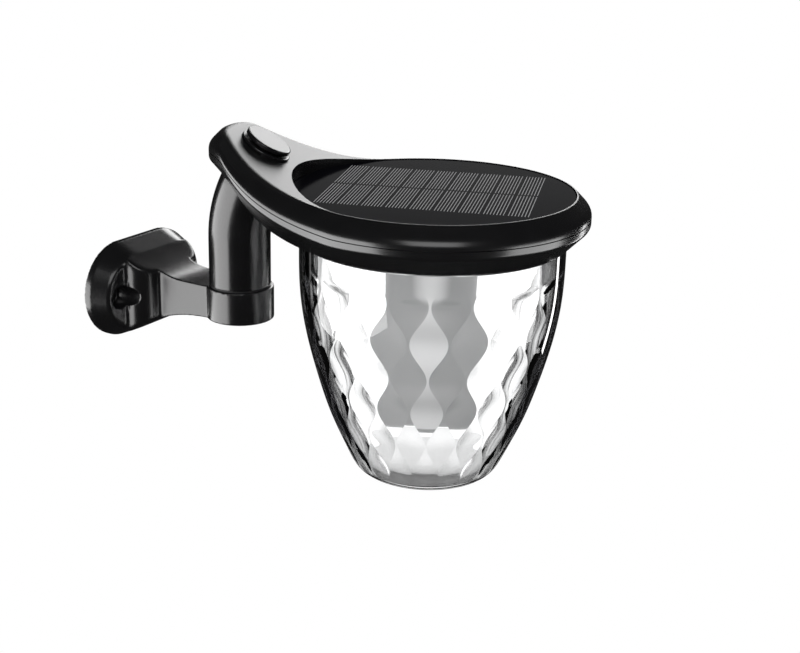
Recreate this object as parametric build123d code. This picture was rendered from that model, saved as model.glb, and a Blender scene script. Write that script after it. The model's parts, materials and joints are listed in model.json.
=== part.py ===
"""Solar wall light: a bracket with a swivelling head, a solar lid and a clear cut-glass shade.

All sizes are in millimetres. The origin is the centre of the bracket's back face, which lies
in the plane y = 0 against the wall. +Y points into the wall, +Z points up and the head stands
out towards -Y. Head pieces are drawn straight ahead in the head frame, whose origin is the
centre of the solar panel's rim, and are then turned about the post to the resting swivel.
"""
import os
from math import asin, cos, degrees, radians, sin, sqrt, tan

from build123d import *

# ---------------------------------------------------------------- wall bracket
FLANGE_WIDTH = 57.6         # stadium-shaped wall flange, overall
FLANGE_HEIGHT = 36.0
FLANGE_RIM = 2.4            # straight edge of the flange at the wall
FLANGE_THICK = 10.4         # flange from the wall to the foot of the arm
FLANGE_DRAFT = 24.0         # bevel of the flange above its rim, degrees
ARM_HALF_WIDTH = 9.2        # the arm at its waist
ARM_WAIST = (21.0, 8.6)     # distance from the wall and half height where the arm has slimmed down
ARM_TOP_LEVEL = 34.0        # distance from the wall where the top edge is level with the ring
ARM_BOTTOM_LEVEL = 44.0
ARM_FLARE = 0.75            # slope of the arm's edges where they leave the flange
SCOOP_RADIUS = 8.5          # hollow corner between the arm and the flange
SCOOP_LEAN = 1.6            # how much lower the flange is at the outer end of a scoop
RING_RADIUS = 12.3          # round socket at the end of the arm
RING_TOP = 7.0
RING_BOTTOM = -5.0
POST_STAND_OFF = 49.5       # swivel axis from the wall
SCREW_SPACING = 40.0        # wall screws, centre to centre
SCREW_HOLE_R = 2.5
SCREW_RECESS_R = 4.2
SCREW_RECESS_FLOOR = 4.0    # plastic left under a screw head

# ---------------------------------------------------------------- fits
RUNNING_GAP = 0.05          # radial clearance of a running fit
SEAT_GAP = 0.05             # radial clearance of a fixed piece in its seat

# ---------------------------------------------------------------- swivel
JOURNAL_R = 8.0             # turned-down foot of the post
THRUST_THICK = 0.6          # friction washer under the post's shoulder
THRUST_R = 10.9
RETAINER_R = 10.0           # steel washer that keeps the post down
RETAINER_THICK = 1.2
RETAINER_RECESS = 2.8       # recess under the ring, from its bottom face
RETAINER_SIDE_GAP = 0.5
JOURNAL_LIFT = 0.2          # the journal stops short of the retaining washer
SWIVEL_SCREW_R = 2.0
SWIVEL_SCREW_LENGTH = 11.0
SWIVEL_HEAD_R = 3.9
SWIVEL_HEAD_HEIGHT = 1.5
SWIVEL_AT_REST = 20.0       # how far the head is turned from straight ahead, degrees

# ---------------------------------------------------------------- post
POST_R = 11.2
POST_WALL = 2.6
POST_BEND_START = 25.0      # height at which the post starts to lean out
POST_BEND_RADIUS = 44.0
POST_BEND_ANGLE = 34.0
POST_HOLLOW_START = 16.0
POST_HOLLOW_ANGLE = 11.0    # the bore ends this far round the bend, under a solid end
POST_SCREW_APART = 11.0
POST_SCREW_BITE = 5.0
POST_SCREW_Y = 66.5         # where the post's screws pass the floor of the neck

# ---------------------------------------------------------------- lid
REACH = 70.6                # swivel axis to the centre of the panel
PANEL_HEIGHT = 47.6         # rim of the panel above the bracket's centre
LID_RADIUS = 54.8
NECK_REACH = 25.6           # rounded end of the neck beyond the disc's edge
NECK_LEAVES_AT = 31.0       # where the neck's sides leave the disc, degrees from the cross line
NECK_SHARES = ((0.877, 0.223), (0.737, 0.507), (0.439, 0.829))   # shares of its root's width and of its run
INSET_STEPS = 12            # points that carry an inner outline along the neck
RAMP_START = 23.0           # the flat lid starts to rise here
RAMP_RADIUS = 74.0
RAMP_SLOPE = 38.0           # steepest part of the neck, degrees
CREST_RADIUS = 9.0
LID_BEVEL = 5.0
LID_BAND = 5.0
LID_TAPER_DROP = 7.3
LID_TAPER_IN = 7.2
PARTING_DEPTH = 7.5         # parting line of the two shells under the top surface
PARTING_GROOVE = 0.35
PARTING_GROOVE_DEPTH = 0.6
SHELL_WALL = 2.5

# ---------------------------------------------------------------- solar panel
PANEL_RIM = 0.6             # level land of the lid round the panel
PANEL_SIDE_GAP = 0.2
PANEL_THICK = 2.4
PANEL_SUNK = 0.3            # the panel's face lies just below the rim
PANEL_TAPE = 0.5            # foam tape under the panel
PANEL_TAPE_WIDTH = 6.0
PANEL_FLOOR = 2.0
LEAD_HOLE_R = 3.0
LEAD_HOLE_Y = 8.0

# ---------------------------------------------------------------- inside of the lid
CAVITY_LAND = 2.2           # floor left between the cavity and the shade's groove
NECK_CAVITY_OVERLAP = 4.4   # the neck's hollow reaches this far into the round cavity
NECK_CAVITY_INSET = 7.8
GASKET_INSET = 2.8
GASKET_WIDTH = 1.8
GASKET_HEIGHT = 1.4
SHELL_SCREW_INSET = 4.4     # shell screws inside the cavity's wall
SHELL_SCREW_ANGLES = (18.0, 162.0, 225.0, 315.0)
BOSS_R = 3.4
UPPER_BOSS_DROP = 4.0
BOSS_GAP = 0.1
SCREW_R = 1.4
SCREW_HEAD_R = 2.6
SCREW_HEAD_HEIGHT = 1.4
SCREW_END_GAP = 0.6

# ---------------------------------------------------------------- electrics
BATTERY_R = 4.15            # slim cell that clears the panel's floor
BATTERY_LENGTH = 42.5
BATTERY_Y = 27.5
BATTERY_CAP_R = 2.0
BATTERY_CAP_HEIGHT = 0.8
CRADLE_WALL = 1.0
CRADLE_HEIGHT = 6.0
CONTACT_THICK = 0.5
CONTACT_PLATE = 7.0
CONTACT_NUB = 1.2
CONTACT_NUB_R = 2.0
BOARD_LENGTH = 36.0
BOARD_WIDTH = 17.0
BOARD_THICK = 1.6
BOARD_Y = -29.0
BOARD_STAND = 2.0
BOARD_STAND_R = 2.6
BOARD_HOLE_INSET = 3.2
BOARD_SCREW_R = 1.0
BOARD_HEAD_R = 1.9
BOARD_HEAD_HEIGHT = 1.1
CHIP = (5.0, 4.0, 1.5)
COIL_R = 3.4
COIL_HEIGHT = 3.6
CAPACITOR_R = 2.5
CAPACITOR_HEIGHT = 5.4

# ---------------------------------------------------------------- button and switch
BUTTON_Y = 60.0
BEZEL_R = 9.8
BEZEL_TOP = 2.4             # top of the bezel over the neck's surface
BEZEL_SUNK = 0.8            # its foot below the surface at the centre
BEZEL_SLEEVE_R = 8.6
BEZEL_SLEEVE_DEPTH = 9.5
BEZEL_GUIDE = 3.6           # length of the bore that guides the button's stem
BEZEL_EDGE = 0.7
BEZEL_SEAL = 0.5
BUTTON_R = 8.9
BUTTON_STEM_R = 6.4
BUTTON_GROOVE = 1.1         # open gap between the bezel and the button at rest
BUTTON_THICK = 2.6
BUTTON_STEM_END = 1.2       # foot of the stem below the neck's surface
BUTTON_TRAVEL = 0.8
BUTTON_EDGE = 0.9
SWITCH_BOARD_THICK = 1.2
SWITCH_BODY = 6.2
SWITCH_BODY_HEIGHT = 3.5
PLUNGER_R = 1.75
PLUNGER_DEPTH = 1.3         # how far the plunger dips into the switch at rest
PLUNGER_END_GAP = 0.4

# ---------------------------------------------------------------- lamp
LED_BOARD_R = 19.8
LED_BOARD_THICK = 1.6
LED_SIZE = 2.8
LED_THICK = 0.8
LED_RING = 8.0
LED_COUNT = 6
TUBE_R = 16.4
TUBE_WALL = 1.5
TUBE_LENGTH = 66.7          # light tube below the lid
TUBE_EDGE = 3.0
TUBE_FLANGE_R = 20.0
TUBE_FLANGE_THICK = 1.6
LAMP_SCREW_RING = 18.2
LAMP_SCREW_R = 0.8
LAMP_HEAD_R = 1.5
LAMP_HEAD_HEIGHT = 0.9
LAMP_SCREW_COUNT = 3
PLATE_SIDE_GAP = 0.6        # reflector plate inside the shade's bore
PLATE_THICK = 1.2
PLATE_PEG_COUNT = 3
PLATE_PEG_TURN = 60.0       # direction of the first peg, degrees
PLATE_PEG_RING = 30.0
PLATE_PEG_R = 1.5
PLATE_PEG_SHORT = 0.2

# ---------------------------------------------------------------- shade
SHADE_SET_BACK = 0.7        # the shade's side inside the foot of the lid's taper
SHADE_WALL = 2.8
SHADE_SPIGOT_WALL = 1.7
SHADE_SPIGOT = 3.4
SHADE_GASKET = 0.6
SHADE_HEIGHT = 87.1         # shade below the lid
BELLY_SHARES = ((0.989, 0.238), (0.934, 0.421), (0.855, 0.582), (0.757, 0.743), (0.631, 0.898))
HEEL_SHARES = (0.571, 0.963)    # points of the side, as shares of the top radius and of the height
HEEL_SLOPE = 60.0     # slope of the side at the heel, degrees
SHADE_BASE_R = 22.5
SHADE_BASE_THICK = 3.2
SHADE_BASE_LIP = 1.5        # the inside is this much narrower than the base
FACETS_AROUND = 20
FACET_WALL = 2.4            # glass left at the corners of the facets
FACET_DROP = 11.7           # the facets begin this far below the lid
FACET_ROWS = 6
FACET_BASE_SHARE = 0.4      # height of the last row of corners above the base, as a share of a row

# ---------------------------------------------------------------- worked-out places
LID_THICK = LID_BEVEL + LID_BAND + LID_TAPER_DROP
FLOOR_TOP = SHELL_WALL - LID_THICK
POCKET_FLOOR = -(PANEL_SUNK + PANEL_THICK + PANEL_TAPE)
CAVITY_TOP = POCKET_FLOOR - PANEL_FLOOR
POST_SHOULDER = RING_TOP + THRUST_THICK
RETAINER_SEAT = RING_BOTTOM + RETAINER_RECESS
LID_TIP = LID_RADIUS + NECK_REACH
PANEL_R = LID_RADIUS - LID_BEVEL - PANEL_RIM
SHADE_TOP_R = LID_RADIUS - LID_TAPER_IN - SHADE_SET_BACK
SHADE_BORE = SHADE_TOP_R - SHADE_WALL
SHADE_BOTTOM = -LID_THICK - SHADE_HEIGHT
SHADE_FLOOR = SHADE_BOTTOM + SHADE_BASE_THICK
FACET_TOP = -LID_THICK - FACET_DROP
FACET_PITCH = (FACET_TOP - SHADE_FLOOR) / (FACET_ROWS - 1 + FACET_BASE_SHARE)
CAVITY_R = SHADE_BORE - CAVITY_LAND
SHELL_SCREW_RING = CAVITY_R - SHELL_SCREW_INSET
PLATE_R = SHADE_BORE - PLATE_SIDE_GAP
TUBE_BOTTOM = -LID_THICK - TUBE_LENGTH
SPIGOT_TOP = SHADE_SPIGOT - LID_THICK
GROOVE_TOP = SPIGOT_TOP + SHADE_GASKET
LED_BOARD_SEAT = FLOOR_TOP + TUBE_FLANGE_THICK
BOARD_SEAT = FLOOR_TOP + BOARD_STAND
BOARD_TOP = BOARD_SEAT + BOARD_THICK
BATTERY_Z = FLOOR_TOP + CRADLE_WALL + BATTERY_R
FAR = 100.0                 # past every edge of the light
OVERCUT = 1.0               # how far a cut runs on past the face that it opens


def ramp_height(y):
    """Height of the lid's centre line on the hollow part of the ramp."""
    return RAMP_RADIUS - sqrt(RAMP_RADIUS**2 - (y - RAMP_START)**2)


def ramp_tilt(y):
    """Slope of the ramp's hollow part, in degrees."""
    return degrees(asin((y - RAMP_START) / RAMP_RADIUS))


def at_post(shape):
    """Moves a piece drawn about the swivel axis to its resting place."""
    return Pos(0, -POST_STAND_OFF, 0) * Rot(0, 0, SWIVEL_AT_REST) * shape


def to_row(shape):
    """Moves a head piece from the head frame to its resting place."""
    return at_post(Pos(0, -REACH, PANEL_HEIGHT) * shape)


def on_ramp(shape, y, drop=0.0):
    """Stands a piece square on the ramp, at a distance from the panel's centre."""
    return Pos(0, y, ramp_height(y) - drop) * Rot(ramp_tilt(y), 0, 0) * shape


def disc(radius, bottom, top, x=0.0, y=0.0):
    """An upright cylinder between two heights."""
    return Pos(x, y, bottom) * Cylinder(radius, top - bottom, align=(Align.CENTER, Align.CENTER, Align.MIN))


def ring(outer, inner, bottom, top):
    """An upright tube between two heights."""
    return disc(outer, bottom, top) - disc(inner, bottom - OVERCUT, top + OVERCUT)


def block(size_x, size_y, bottom, top, x=0.0, y=0.0):
    """An upright box between two heights."""
    box = Box(size_x, size_y, top - bottom, align=(Align.CENTER, Align.CENTER, Align.MIN))
    return Pos(x, y, bottom) * box


def around(radius, angles):
    """Points on a circle, at angles in degrees."""
    return [(radius * cos(radians(angle)), radius * sin(radians(angle))) for angle in angles]


def evenly(count, start=0.0):
    """Evenly spaced angles, in degrees."""
    return [start + 360.0 * index / count for index in range(count)]


def gather(shapes):
    """One compound of separate solids."""
    return Compound(children=[solid for shape in shapes for solid in shape.solids()])


# ================================================================ bracket
def bracket_plan():
    """The bracket from above: flange, hollow scoops, waist and round ring."""
    half = FLANGE_WIDTH / 2
    scoop_x = ARM_HALF_WIDTH + SCOOP_RADIUS
    waist_y = -FLANGE_THICK - SCOOP_RADIUS
    meet_y = sqrt(RING_RADIUS**2 - ARM_HALF_WIDTH**2) - POST_STAND_OFF
    outer_end = (half, SCOOP_LEAN - FLANGE_THICK)
    right = make_face([
        Line((0, 0), (half, 0)),
        Line((half, 0), outer_end),
        Line(outer_end, (scoop_x, -FLANGE_THICK)),
        RadiusArc((scoop_x, -FLANGE_THICK), (ARM_HALF_WIDTH, waist_y), SCOOP_RADIUS),
        Line((ARM_HALF_WIDTH, waist_y), (ARM_HALF_WIDTH, meet_y)),
        Line((ARM_HALF_WIDTH, meet_y), (0, meet_y)),
        Line((0, meet_y), (0, 0)),
    ])
    return right + mirror(right, Plane.YZ) + Pos(0, -POST_STAND_OFF) * Circle(RING_RADIUS)


def bracket_side():
    """The bracket from the side (y, z): the arm swells towards the flange."""
    foot = FLANGE_HEIGHT / 2 - (FLANGE_THICK - FLANGE_RIM) * tan(radians(FLANGE_DRAFT))
    end = -POST_STAND_OFF - RING_RADIUS
    waist_y, waist_half = ARM_WAIST
    top = Spline((-FLANGE_THICK, foot), (-waist_y, waist_half), (-ARM_TOP_LEVEL, RING_TOP),
                 tangents=((-1, -ARM_FLARE), (-1, 0)))
    bottom = Spline((-FLANGE_THICK, -foot), (-waist_y, -waist_half), (-ARM_BOTTOM_LEVEL, RING_BOTTOM),
                    tangents=((-1, ARM_FLARE), (-1, 0)))
    return make_face([
        top,
        Line((-ARM_TOP_LEVEL, RING_TOP), (end, RING_TOP)),
        Line((end, RING_TOP), (end, RING_BOTTOM)),
        Line((end, RING_BOTTOM), (-ARM_BOTTOM_LEVEL, RING_BOTTOM)),
        bottom,
        Line((-FLANGE_THICK, -foot), (-FLANGE_THICK, foot)),
    ])


def wall_bracket():
    """The one-piece moulded bracket with its screw recesses and swivel socket."""
    plan = extrude(bracket_plan(), amount=FAR, both=True)
    arm = extrude(Plane.YZ * bracket_side(), amount=FAR, both=True) & plan
    wall = Plane(origin=(0, 0, 0), x_dir=(1, 0, 0), z_dir=(0, -1, 0))
    rim = extrude(wall * SlotOverall(FLANGE_WIDTH, FLANGE_HEIGHT), amount=FLANGE_RIM)
    cap_base = wall.offset(FLANGE_RIM) * SlotOverall(FLANGE_WIDTH, FLANGE_HEIGHT)
    cap = extrude(cap_base, amount=FLANGE_THICK - FLANGE_RIM, taper=FLANGE_DRAFT) & plan
    body = rim + cap + arm
    for side in (-1, 1):
        hole = Plane(origin=(side * SCREW_SPACING / 2, 0, 0), z_dir=(0, -1, 0))
        body -= hole * disc(SCREW_HOLE_R, -OVERCUT, FLANGE_THICK)
        body -= hole * disc(SCREW_RECESS_R, SCREW_RECESS_FLOOR, 2 * FLANGE_THICK)
    body -= disc(JOURNAL_R + RUNNING_GAP, RING_BOTTOM - OVERCUT, RING_TOP + OVERCUT, y=-POST_STAND_OFF)
    room = disc(RETAINER_R + RETAINER_SIDE_GAP, RING_BOTTOM - OVERCUT, RETAINER_SEAT, y=-POST_STAND_OFF)
    return body - room


# ================================================================ swivel and post
def friction_washer():
    """Thin washer between the ring and the post's shoulder."""
    return at_post(ring(THRUST_R, JOURNAL_R + SEAT_GAP, RING_TOP, POST_SHOULDER))


def swivel_washer():
    """Steel washer in the recess under the ring."""
    return at_post(ring(RETAINER_R, SWIVEL_SCREW_R + SEAT_GAP, RETAINER_SEAT - RETAINER_THICK, RETAINER_SEAT))


def screw(shank_r, head_r, head_height, under_head, tip):
    """A pan-head screw with its axis on Z; it points up if the tip is above the head."""
    way = 1 if tip > under_head else -1
    crown = under_head - way * head_height
    head = disc(head_r, min(crown, under_head), max(crown, under_head))
    slot = block(2 * head_r, head_r / 3, min(crown, crown + way * head_height / 2),
                 max(crown, crown + way * head_height / 2))
    shank = disc(shank_r, min(under_head, tip), max(under_head, tip))
    return head - slot - Rot(0, 0, 90) * slot + shank


def swivel_screw():
    """Screw that pulls the journal down on the washer."""
    under_head = RETAINER_SEAT - RETAINER_THICK
    return at_post(screw(SWIVEL_SCREW_R, SWIVEL_HEAD_R, SWIVEL_HEAD_HEIGHT, under_head,
                         under_head + SWIVEL_SCREW_LENGTH))


def post_path(start, bend_angle):
    """Centre line of the post from a height up to an angle of its bend."""
    bend = radians(bend_angle)
    turned = (0, -POST_BEND_RADIUS * (1 - cos(bend)), POST_BEND_START + POST_BEND_RADIUS * sin(bend))
    straight = Line((0, 0, start), (0, 0, POST_BEND_START))
    return Wire([straight, TangentArc((0, 0, POST_BEND_START), turned, tangent=(0, 0, 1))])


def post_tube(lid_block):
    """Bent tube that carries the lid, closed at the top and turned down to a journal below."""
    outer = sweep(Plane.XY.offset(POST_SHOULDER) * Circle(POST_R),
                  path=post_path(POST_SHOULDER, POST_BEND_ANGLE))
    hollow = sweep(Plane.XY.offset(POST_HOLLOW_START) * Circle(POST_R - POST_WALL),
                   path=post_path(POST_HOLLOW_START, POST_HOLLOW_ANGLE))
    lid_here = Pos(0, -REACH, PANEL_HEIGHT) * lid_block
    tube = (outer - lid_here).solids().sort_by(Axis.Z)[0] - hollow
    journal = disc(JOURNAL_R, RETAINER_SEAT + JOURNAL_LIFT, POST_SHOULDER)
    screw_end = RETAINER_SEAT - RETAINER_THICK + SWIVEL_SCREW_LENGTH
    thread = disc(SWIVEL_SCREW_R + SEAT_GAP, RETAINER_SEAT, screw_end + SCREW_END_GAP)
    screws = Pos(0, -REACH, PANEL_HEIGHT) * post_screw_room()
    return at_post(tube + journal - thread - screws)


def post_screw_places():
    """The two screws that hold the lower shell on the post, on the ramp's floor."""
    return [Pos(side * POST_SCREW_APART / 2, 0, 0) for side in (-1, 1)]


def post_screws():
    """Screws from the neck's floor down into the post."""
    one = screw(SCREW_R, SCREW_HEAD_R, SCREW_HEAD_HEIGHT, SHELL_WALL / 2, -POST_SCREW_BITE)
    return to_row(gather([on_ramp(place * one, POST_SCREW_Y, LID_THICK) for place in post_screw_places()]))


def post_screw_room():
    """The holes of the post's screws and the seats of their heads."""
    hole = disc(SCREW_R + SEAT_GAP, -POST_SCREW_BITE - SCREW_END_GAP, SHELL_WALL)
    seat = disc(SCREW_HEAD_R + SEAT_GAP, SHELL_WALL / 2, 2 * SHELL_WALL)
    return on_ramp(Compound(children=[place * (hole + seat) for place in post_screw_places()]),
                   POST_SCREW_Y, LID_THICK)


# ================================================================ lid
def neck_side():
    """Right-hand edge of the neck in plan, from the disc to the rounded tip."""
    root_x = LID_RADIUS * cos(radians(NECK_LEAVES_AT))
    root_y = LID_RADIUS * sin(radians(NECK_LEAVES_AT))
    points = [(root_x * across, root_y + (LID_TIP - root_y) * along) for across, along in NECK_SHARES]
    return Spline((root_x, root_y), *points, (0, LID_TIP), tangents=((-root_y, root_x), (-1, 0)))


def drawn_in(curve, inset):
    """A smooth curve that runs beside another, on its left, at an even distance."""
    points = []
    for step in range(INSET_STEPS + 1):
        share = step / INSET_STEPS
        along = curve % share
        points.append(curve @ share + Vector(-along.Y, along.X) * inset)
    return Spline(*points, tangents=(curve % 0, curve % 1))


def lid_outline(inset=0.0):
    """Plan of the lid, drawn in all round: a disc that runs into a rounded neck."""
    neck = drawn_in(neck_side(), inset) if inset else neck_side()
    foot = (0, inset - LID_RADIUS)
    disc_side = ThreePointArc(foot, (LID_RADIUS - inset, 0), neck @ 0)
    half = make_face([disc_side, neck, Line(neck @ 1, foot)])
    return half + mirror(half, Plane.YZ)


def inset_prism(inset):
    """An upright prism over the lid's plan, drawn in all round."""
    return extrude(lid_outline(inset), amount=FAR, both=True)


def ramp_curve(drop):
    """The lid's top line in side view (y, z), lowered by a drop."""
    slope = radians(RAMP_SLOPE)
    foot = (RAMP_START, -drop)
    steep_y = RAMP_START + RAMP_RADIUS * sin(slope)
    steep = (steep_y, ramp_height(steep_y) - drop)
    crest = (steep_y + CREST_RADIUS * sin(slope), steep[1] + CREST_RADIUS * (1 - cos(slope)))
    rise = TangentArc(foot, steep, tangent=(1, 0))
    over = TangentArc(steep, crest, tangent=(cos(slope), sin(slope)))
    return [Line((-FAR, -drop), foot), rise, over, Line(crest, (FAR, crest[1]))]


def between_ramps(upper_drop, lower_drop):
    """Everything between two lowered copies of the top surface."""
    upper = ramp_curve(upper_drop)
    lower = ramp_curve(lower_drop)
    ends = [Line(upper[0] @ 0, lower[0] @ 0), Line(upper[-1] @ 1, lower[-1] @ 1)]
    return extrude(Plane.YZ * make_face(upper + lower + ends), amount=FAR, both=True)


def wall_edges(solid, facing):
    """Edges that the faces looking up (1) or down (-1) share with the upright walls."""
    upright = [face for face in solid.faces() if abs(face.normal_at().Z) < 0.02]
    level = [face for face in solid.faces() if facing * face.normal_at().Z > 0.1]
    largest = max(level, key=lambda face: face.area)
    around_walls = [edge for face in upright for edge in face.edges()]
    return largest, [edge for edge in largest.edges() if any(edge.is_same(other) for other in around_walls)]


def lid_envelope():
    """The outer form of both shells together, with its bevels."""
    solid = extrude(lid_outline(), amount=FAR, both=True) & between_ramps(0, LID_THICK)
    top_face, top_edges = wall_edges(solid, 1)
    solid = chamfer(top_edges[:1], LID_BEVEL, LID_BEVEL, reference=top_face)
    under_face, under_edges = wall_edges(solid, -1)
    return chamfer(under_edges[:1], LID_TAPER_IN, LID_TAPER_DROP, reference=under_face)


def neck_room(upper_drop, lower_drop):
    """Hollow of the neck between two lowered copies of the top surface."""
    behind = block(2 * FAR, FAR, -FAR, FAR, y=CAVITY_R - NECK_CAVITY_OVERLAP + FAR / 2)
    return inset_prism(NECK_CAVITY_INSET) & behind & between_ramps(upper_drop, lower_drop)


def shell_screw_points():
    """Places of the screws that hold the shells together."""
    return around(SHELL_SCREW_RING, SHELL_SCREW_ANGLES)


def button_room():
    """Hole and seat of the button's bezel in the neck."""
    seat = disc(BEZEL_R + SEAT_GAP, -BEZEL_SUNK - BEZEL_SEAL, BEZEL_R)
    hole = disc(BEZEL_SLEEVE_R + SEAT_GAP, -BEZEL_SLEEVE_DEPTH, BEZEL_R)
    return on_ramp(seat + hole, BUTTON_Y)


def upper_shell(envelope):
    """Upper shell with the panel's pocket, the button's seat and screw bosses."""
    shell = envelope & between_ramps(-FAR, PARTING_DEPTH)
    shell -= disc(PANEL_R + PANEL_SIDE_GAP, POCKET_FLOOR, FAR)
    shell -= disc(CAVITY_R, -FAR, CAVITY_TOP)
    shell -= neck_room(SHELL_WALL, FAR)
    boss_foot = CAVITY_TOP - UPPER_BOSS_DROP
    for x, y in shell_screw_points():
        shell += disc(BOSS_R, boss_foot, CAVITY_TOP, x, y)
        shell -= disc(SCREW_R + SEAT_GAP, boss_foot - OVERCUT, CAVITY_TOP + SCREW_END_GAP, x, y)
    groove = between_ramps(PARTING_DEPTH - PARTING_GROOVE, FAR) - inset_prism(PARTING_GROOVE_DEPTH)
    shell -= groove
    shell -= disc(LEAD_HOLE_R, -FAR, FAR, y=LEAD_HOLE_Y)
    return shell - button_room()


def lower_shell(envelope):
    """Lower shell with its floor, screw bosses, board stands and the groove for the shade."""
    shell = envelope - between_ramps(-FAR, PARTING_DEPTH)
    shell -= disc(CAVITY_R, FLOOR_TOP, FAR)
    shell -= neck_room(-FAR, LID_THICK - SHELL_WALL)
    shell -= gasket_strip()
    for x, y in shell_screw_points():
        shell += disc(BOSS_R, FLOOR_TOP, CAVITY_TOP - UPPER_BOSS_DROP - BOSS_GAP, x, y)
        shell -= disc(SCREW_R + SEAT_GAP, -FAR, FAR, x, y)
        shell -= disc(SCREW_HEAD_R + SEAT_GAP, -FAR, -LID_THICK + SCREW_HEAD_HEIGHT, x, y)
    for x, y in board_screw_points():
        shell += disc(BOARD_STAND_R, FLOOR_TOP, BOARD_SEAT, x, y)
        shell -= disc(BOARD_SCREW_R + SEAT_GAP, FLOOR_TOP, BOARD_SEAT + OVERCUT, x, y)
    for x, y in lamp_screw_points():
        shell -= disc(LAMP_SCREW_R + SEAT_GAP, -FAR, FAR, x, y)
    for x, y in plate_peg_points():
        shell -= disc(PLATE_PEG_R + SEAT_GAP, -FAR, FLOOR_TOP + OVERCUT, x, y)
    shell -= disc(TUBE_R + SEAT_GAP, -FAR, FAR)
    spigot_r = SHADE_BORE + SHADE_SPIGOT_WALL
    shell -= ring(spigot_r + SEAT_GAP, SHADE_BORE - SEAT_GAP, -LID_THICK, GROOVE_TOP)
    return shell - post_screw_room()


def gasket_strip():
    """Rubber cord all round between the shells."""
    strip = inset_prism(GASKET_INSET) - inset_prism(GASKET_INSET + GASKET_WIDTH)
    return strip & between_ramps(PARTING_DEPTH, PARTING_DEPTH + GASKET_HEIGHT)


def shell_screws():
    """Screws from below that hold the two shells together."""
    under_head = -LID_THICK + SCREW_HEAD_HEIGHT
    one = screw(SCREW_R, SCREW_HEAD_R, SCREW_HEAD_HEIGHT, under_head, CAVITY_TOP)
    return gather([Pos(x, y, 0) * one for x, y in shell_screw_points()])


# ================================================================ solar panel
def solar_panel():
    """Round laminate of cells under clear resin."""
    face = -PANEL_SUNK
    panel = disc(PANEL_R, face - PANEL_THICK, face)
    return fillet(panel.edges().group_by(Axis.Z)[-1], PANEL_SUNK)


def panel_tape():
    """Foam ring that sticks the panel down."""
    return ring(PANEL_R - PANEL_SIDE_GAP, PANEL_R - PANEL_TAPE_WIDTH, POCKET_FLOOR, POCKET_FLOOR + PANEL_TAPE)


# ================================================================ electrics
def battery():
    """Rechargeable cell that lies across the lid."""
    cell = Pos(0, BATTERY_Y, BATTERY_Z) * Rot(0, 90, 0) * Cylinder(BATTERY_R, BATTERY_LENGTH)
    knob = Rot(0, 90, 0) * disc(BATTERY_CAP_R, 0, BATTERY_CAP_HEIGHT)
    return cell + Pos(BATTERY_LENGTH / 2, BATTERY_Y, BATTERY_Z) * knob


def cradle_half_length():
    """Half of the cradle's inner length: the cell, its cap and both contacts."""
    return BATTERY_LENGTH / 2 + BATTERY_CAP_HEIGHT + CONTACT_THICK


def battery_cradle():
    """Open tray that holds the cell and its contacts."""
    inner_x = 2 * cradle_half_length()
    inner_y = 2 * (BATTERY_R + SEAT_GAP)
    outer_x = inner_x + 2 * CRADLE_WALL
    outer_y = inner_y + 2 * CRADLE_WALL
    tray = block(outer_x, outer_y, FLOOR_TOP, FLOOR_TOP + CRADLE_HEIGHT, y=BATTERY_Y)
    return tray - block(inner_x, inner_y, FLOOR_TOP + CRADLE_WALL, FAR, y=BATTERY_Y)


def battery_contacts():
    """Plate at the cell's cap and plate with a sprung nub at its base."""
    half = cradle_half_length()
    low = FLOOR_TOP + CRADLE_WALL
    plate = block(CONTACT_THICK, CONTACT_PLATE, low, low + CONTACT_PLATE)
    cap_side = Pos(half - CONTACT_THICK / 2, BATTERY_Y, 0) * plate
    base_side = Pos(CONTACT_THICK / 2 - half, BATTERY_Y, 0) * plate
    nub_length = half - CONTACT_THICK - BATTERY_LENGTH / 2
    nub = Pos(CONTACT_THICK - half, BATTERY_Y, BATTERY_Z) * Rot(0, 90, 0) * Cone(
        CONTACT_NUB_R, CONTACT_NUB, nub_length, align=(Align.CENTER, Align.CENTER, Align.MIN))
    return gather([cap_side, base_side + nub])


def board_screw_points():
    """Places of the two screws of the circuit board."""
    reach = BOARD_LENGTH / 2 - BOARD_HOLE_INSET
    return [(-reach, BOARD_Y), (reach, BOARD_Y)]


def circuit_board():
    """Charge and lamp controller on its stands."""
    board = block(BOARD_LENGTH, BOARD_WIDTH, BOARD_SEAT, BOARD_TOP, y=BOARD_Y)
    board = fillet(board.edges().filter_by(Axis.Z), BOARD_SCREW_R)
    for x, y in board_screw_points():
        board -= disc(BOARD_SCREW_R + SEAT_GAP, BOARD_SEAT - OVERCUT, BOARD_TOP + OVERCUT, x, y)
    return board


def board_components():
    """Control chip, coil and capacitor on the circuit board."""
    chip = block(CHIP[0], CHIP[1], BOARD_TOP, BOARD_TOP + CHIP[2], y=BOARD_Y)
    coil = disc(COIL_R, BOARD_TOP, BOARD_TOP + COIL_HEIGHT, x=-BOARD_LENGTH / 4, y=BOARD_Y)
    capacitor = disc(CAPACITOR_R, BOARD_TOP, BOARD_TOP + CAPACITOR_HEIGHT, x=BOARD_LENGTH / 4, y=BOARD_Y)
    return gather([chip, coil, capacitor])


def board_screws():
    """Screws of the circuit board."""
    one = screw(BOARD_SCREW_R, BOARD_HEAD_R, BOARD_HEAD_HEIGHT, BOARD_TOP, FLOOR_TOP + SCREW_END_GAP)
    return gather([Pos(x, y, 0) * one for x, y in board_screw_points()])


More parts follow.
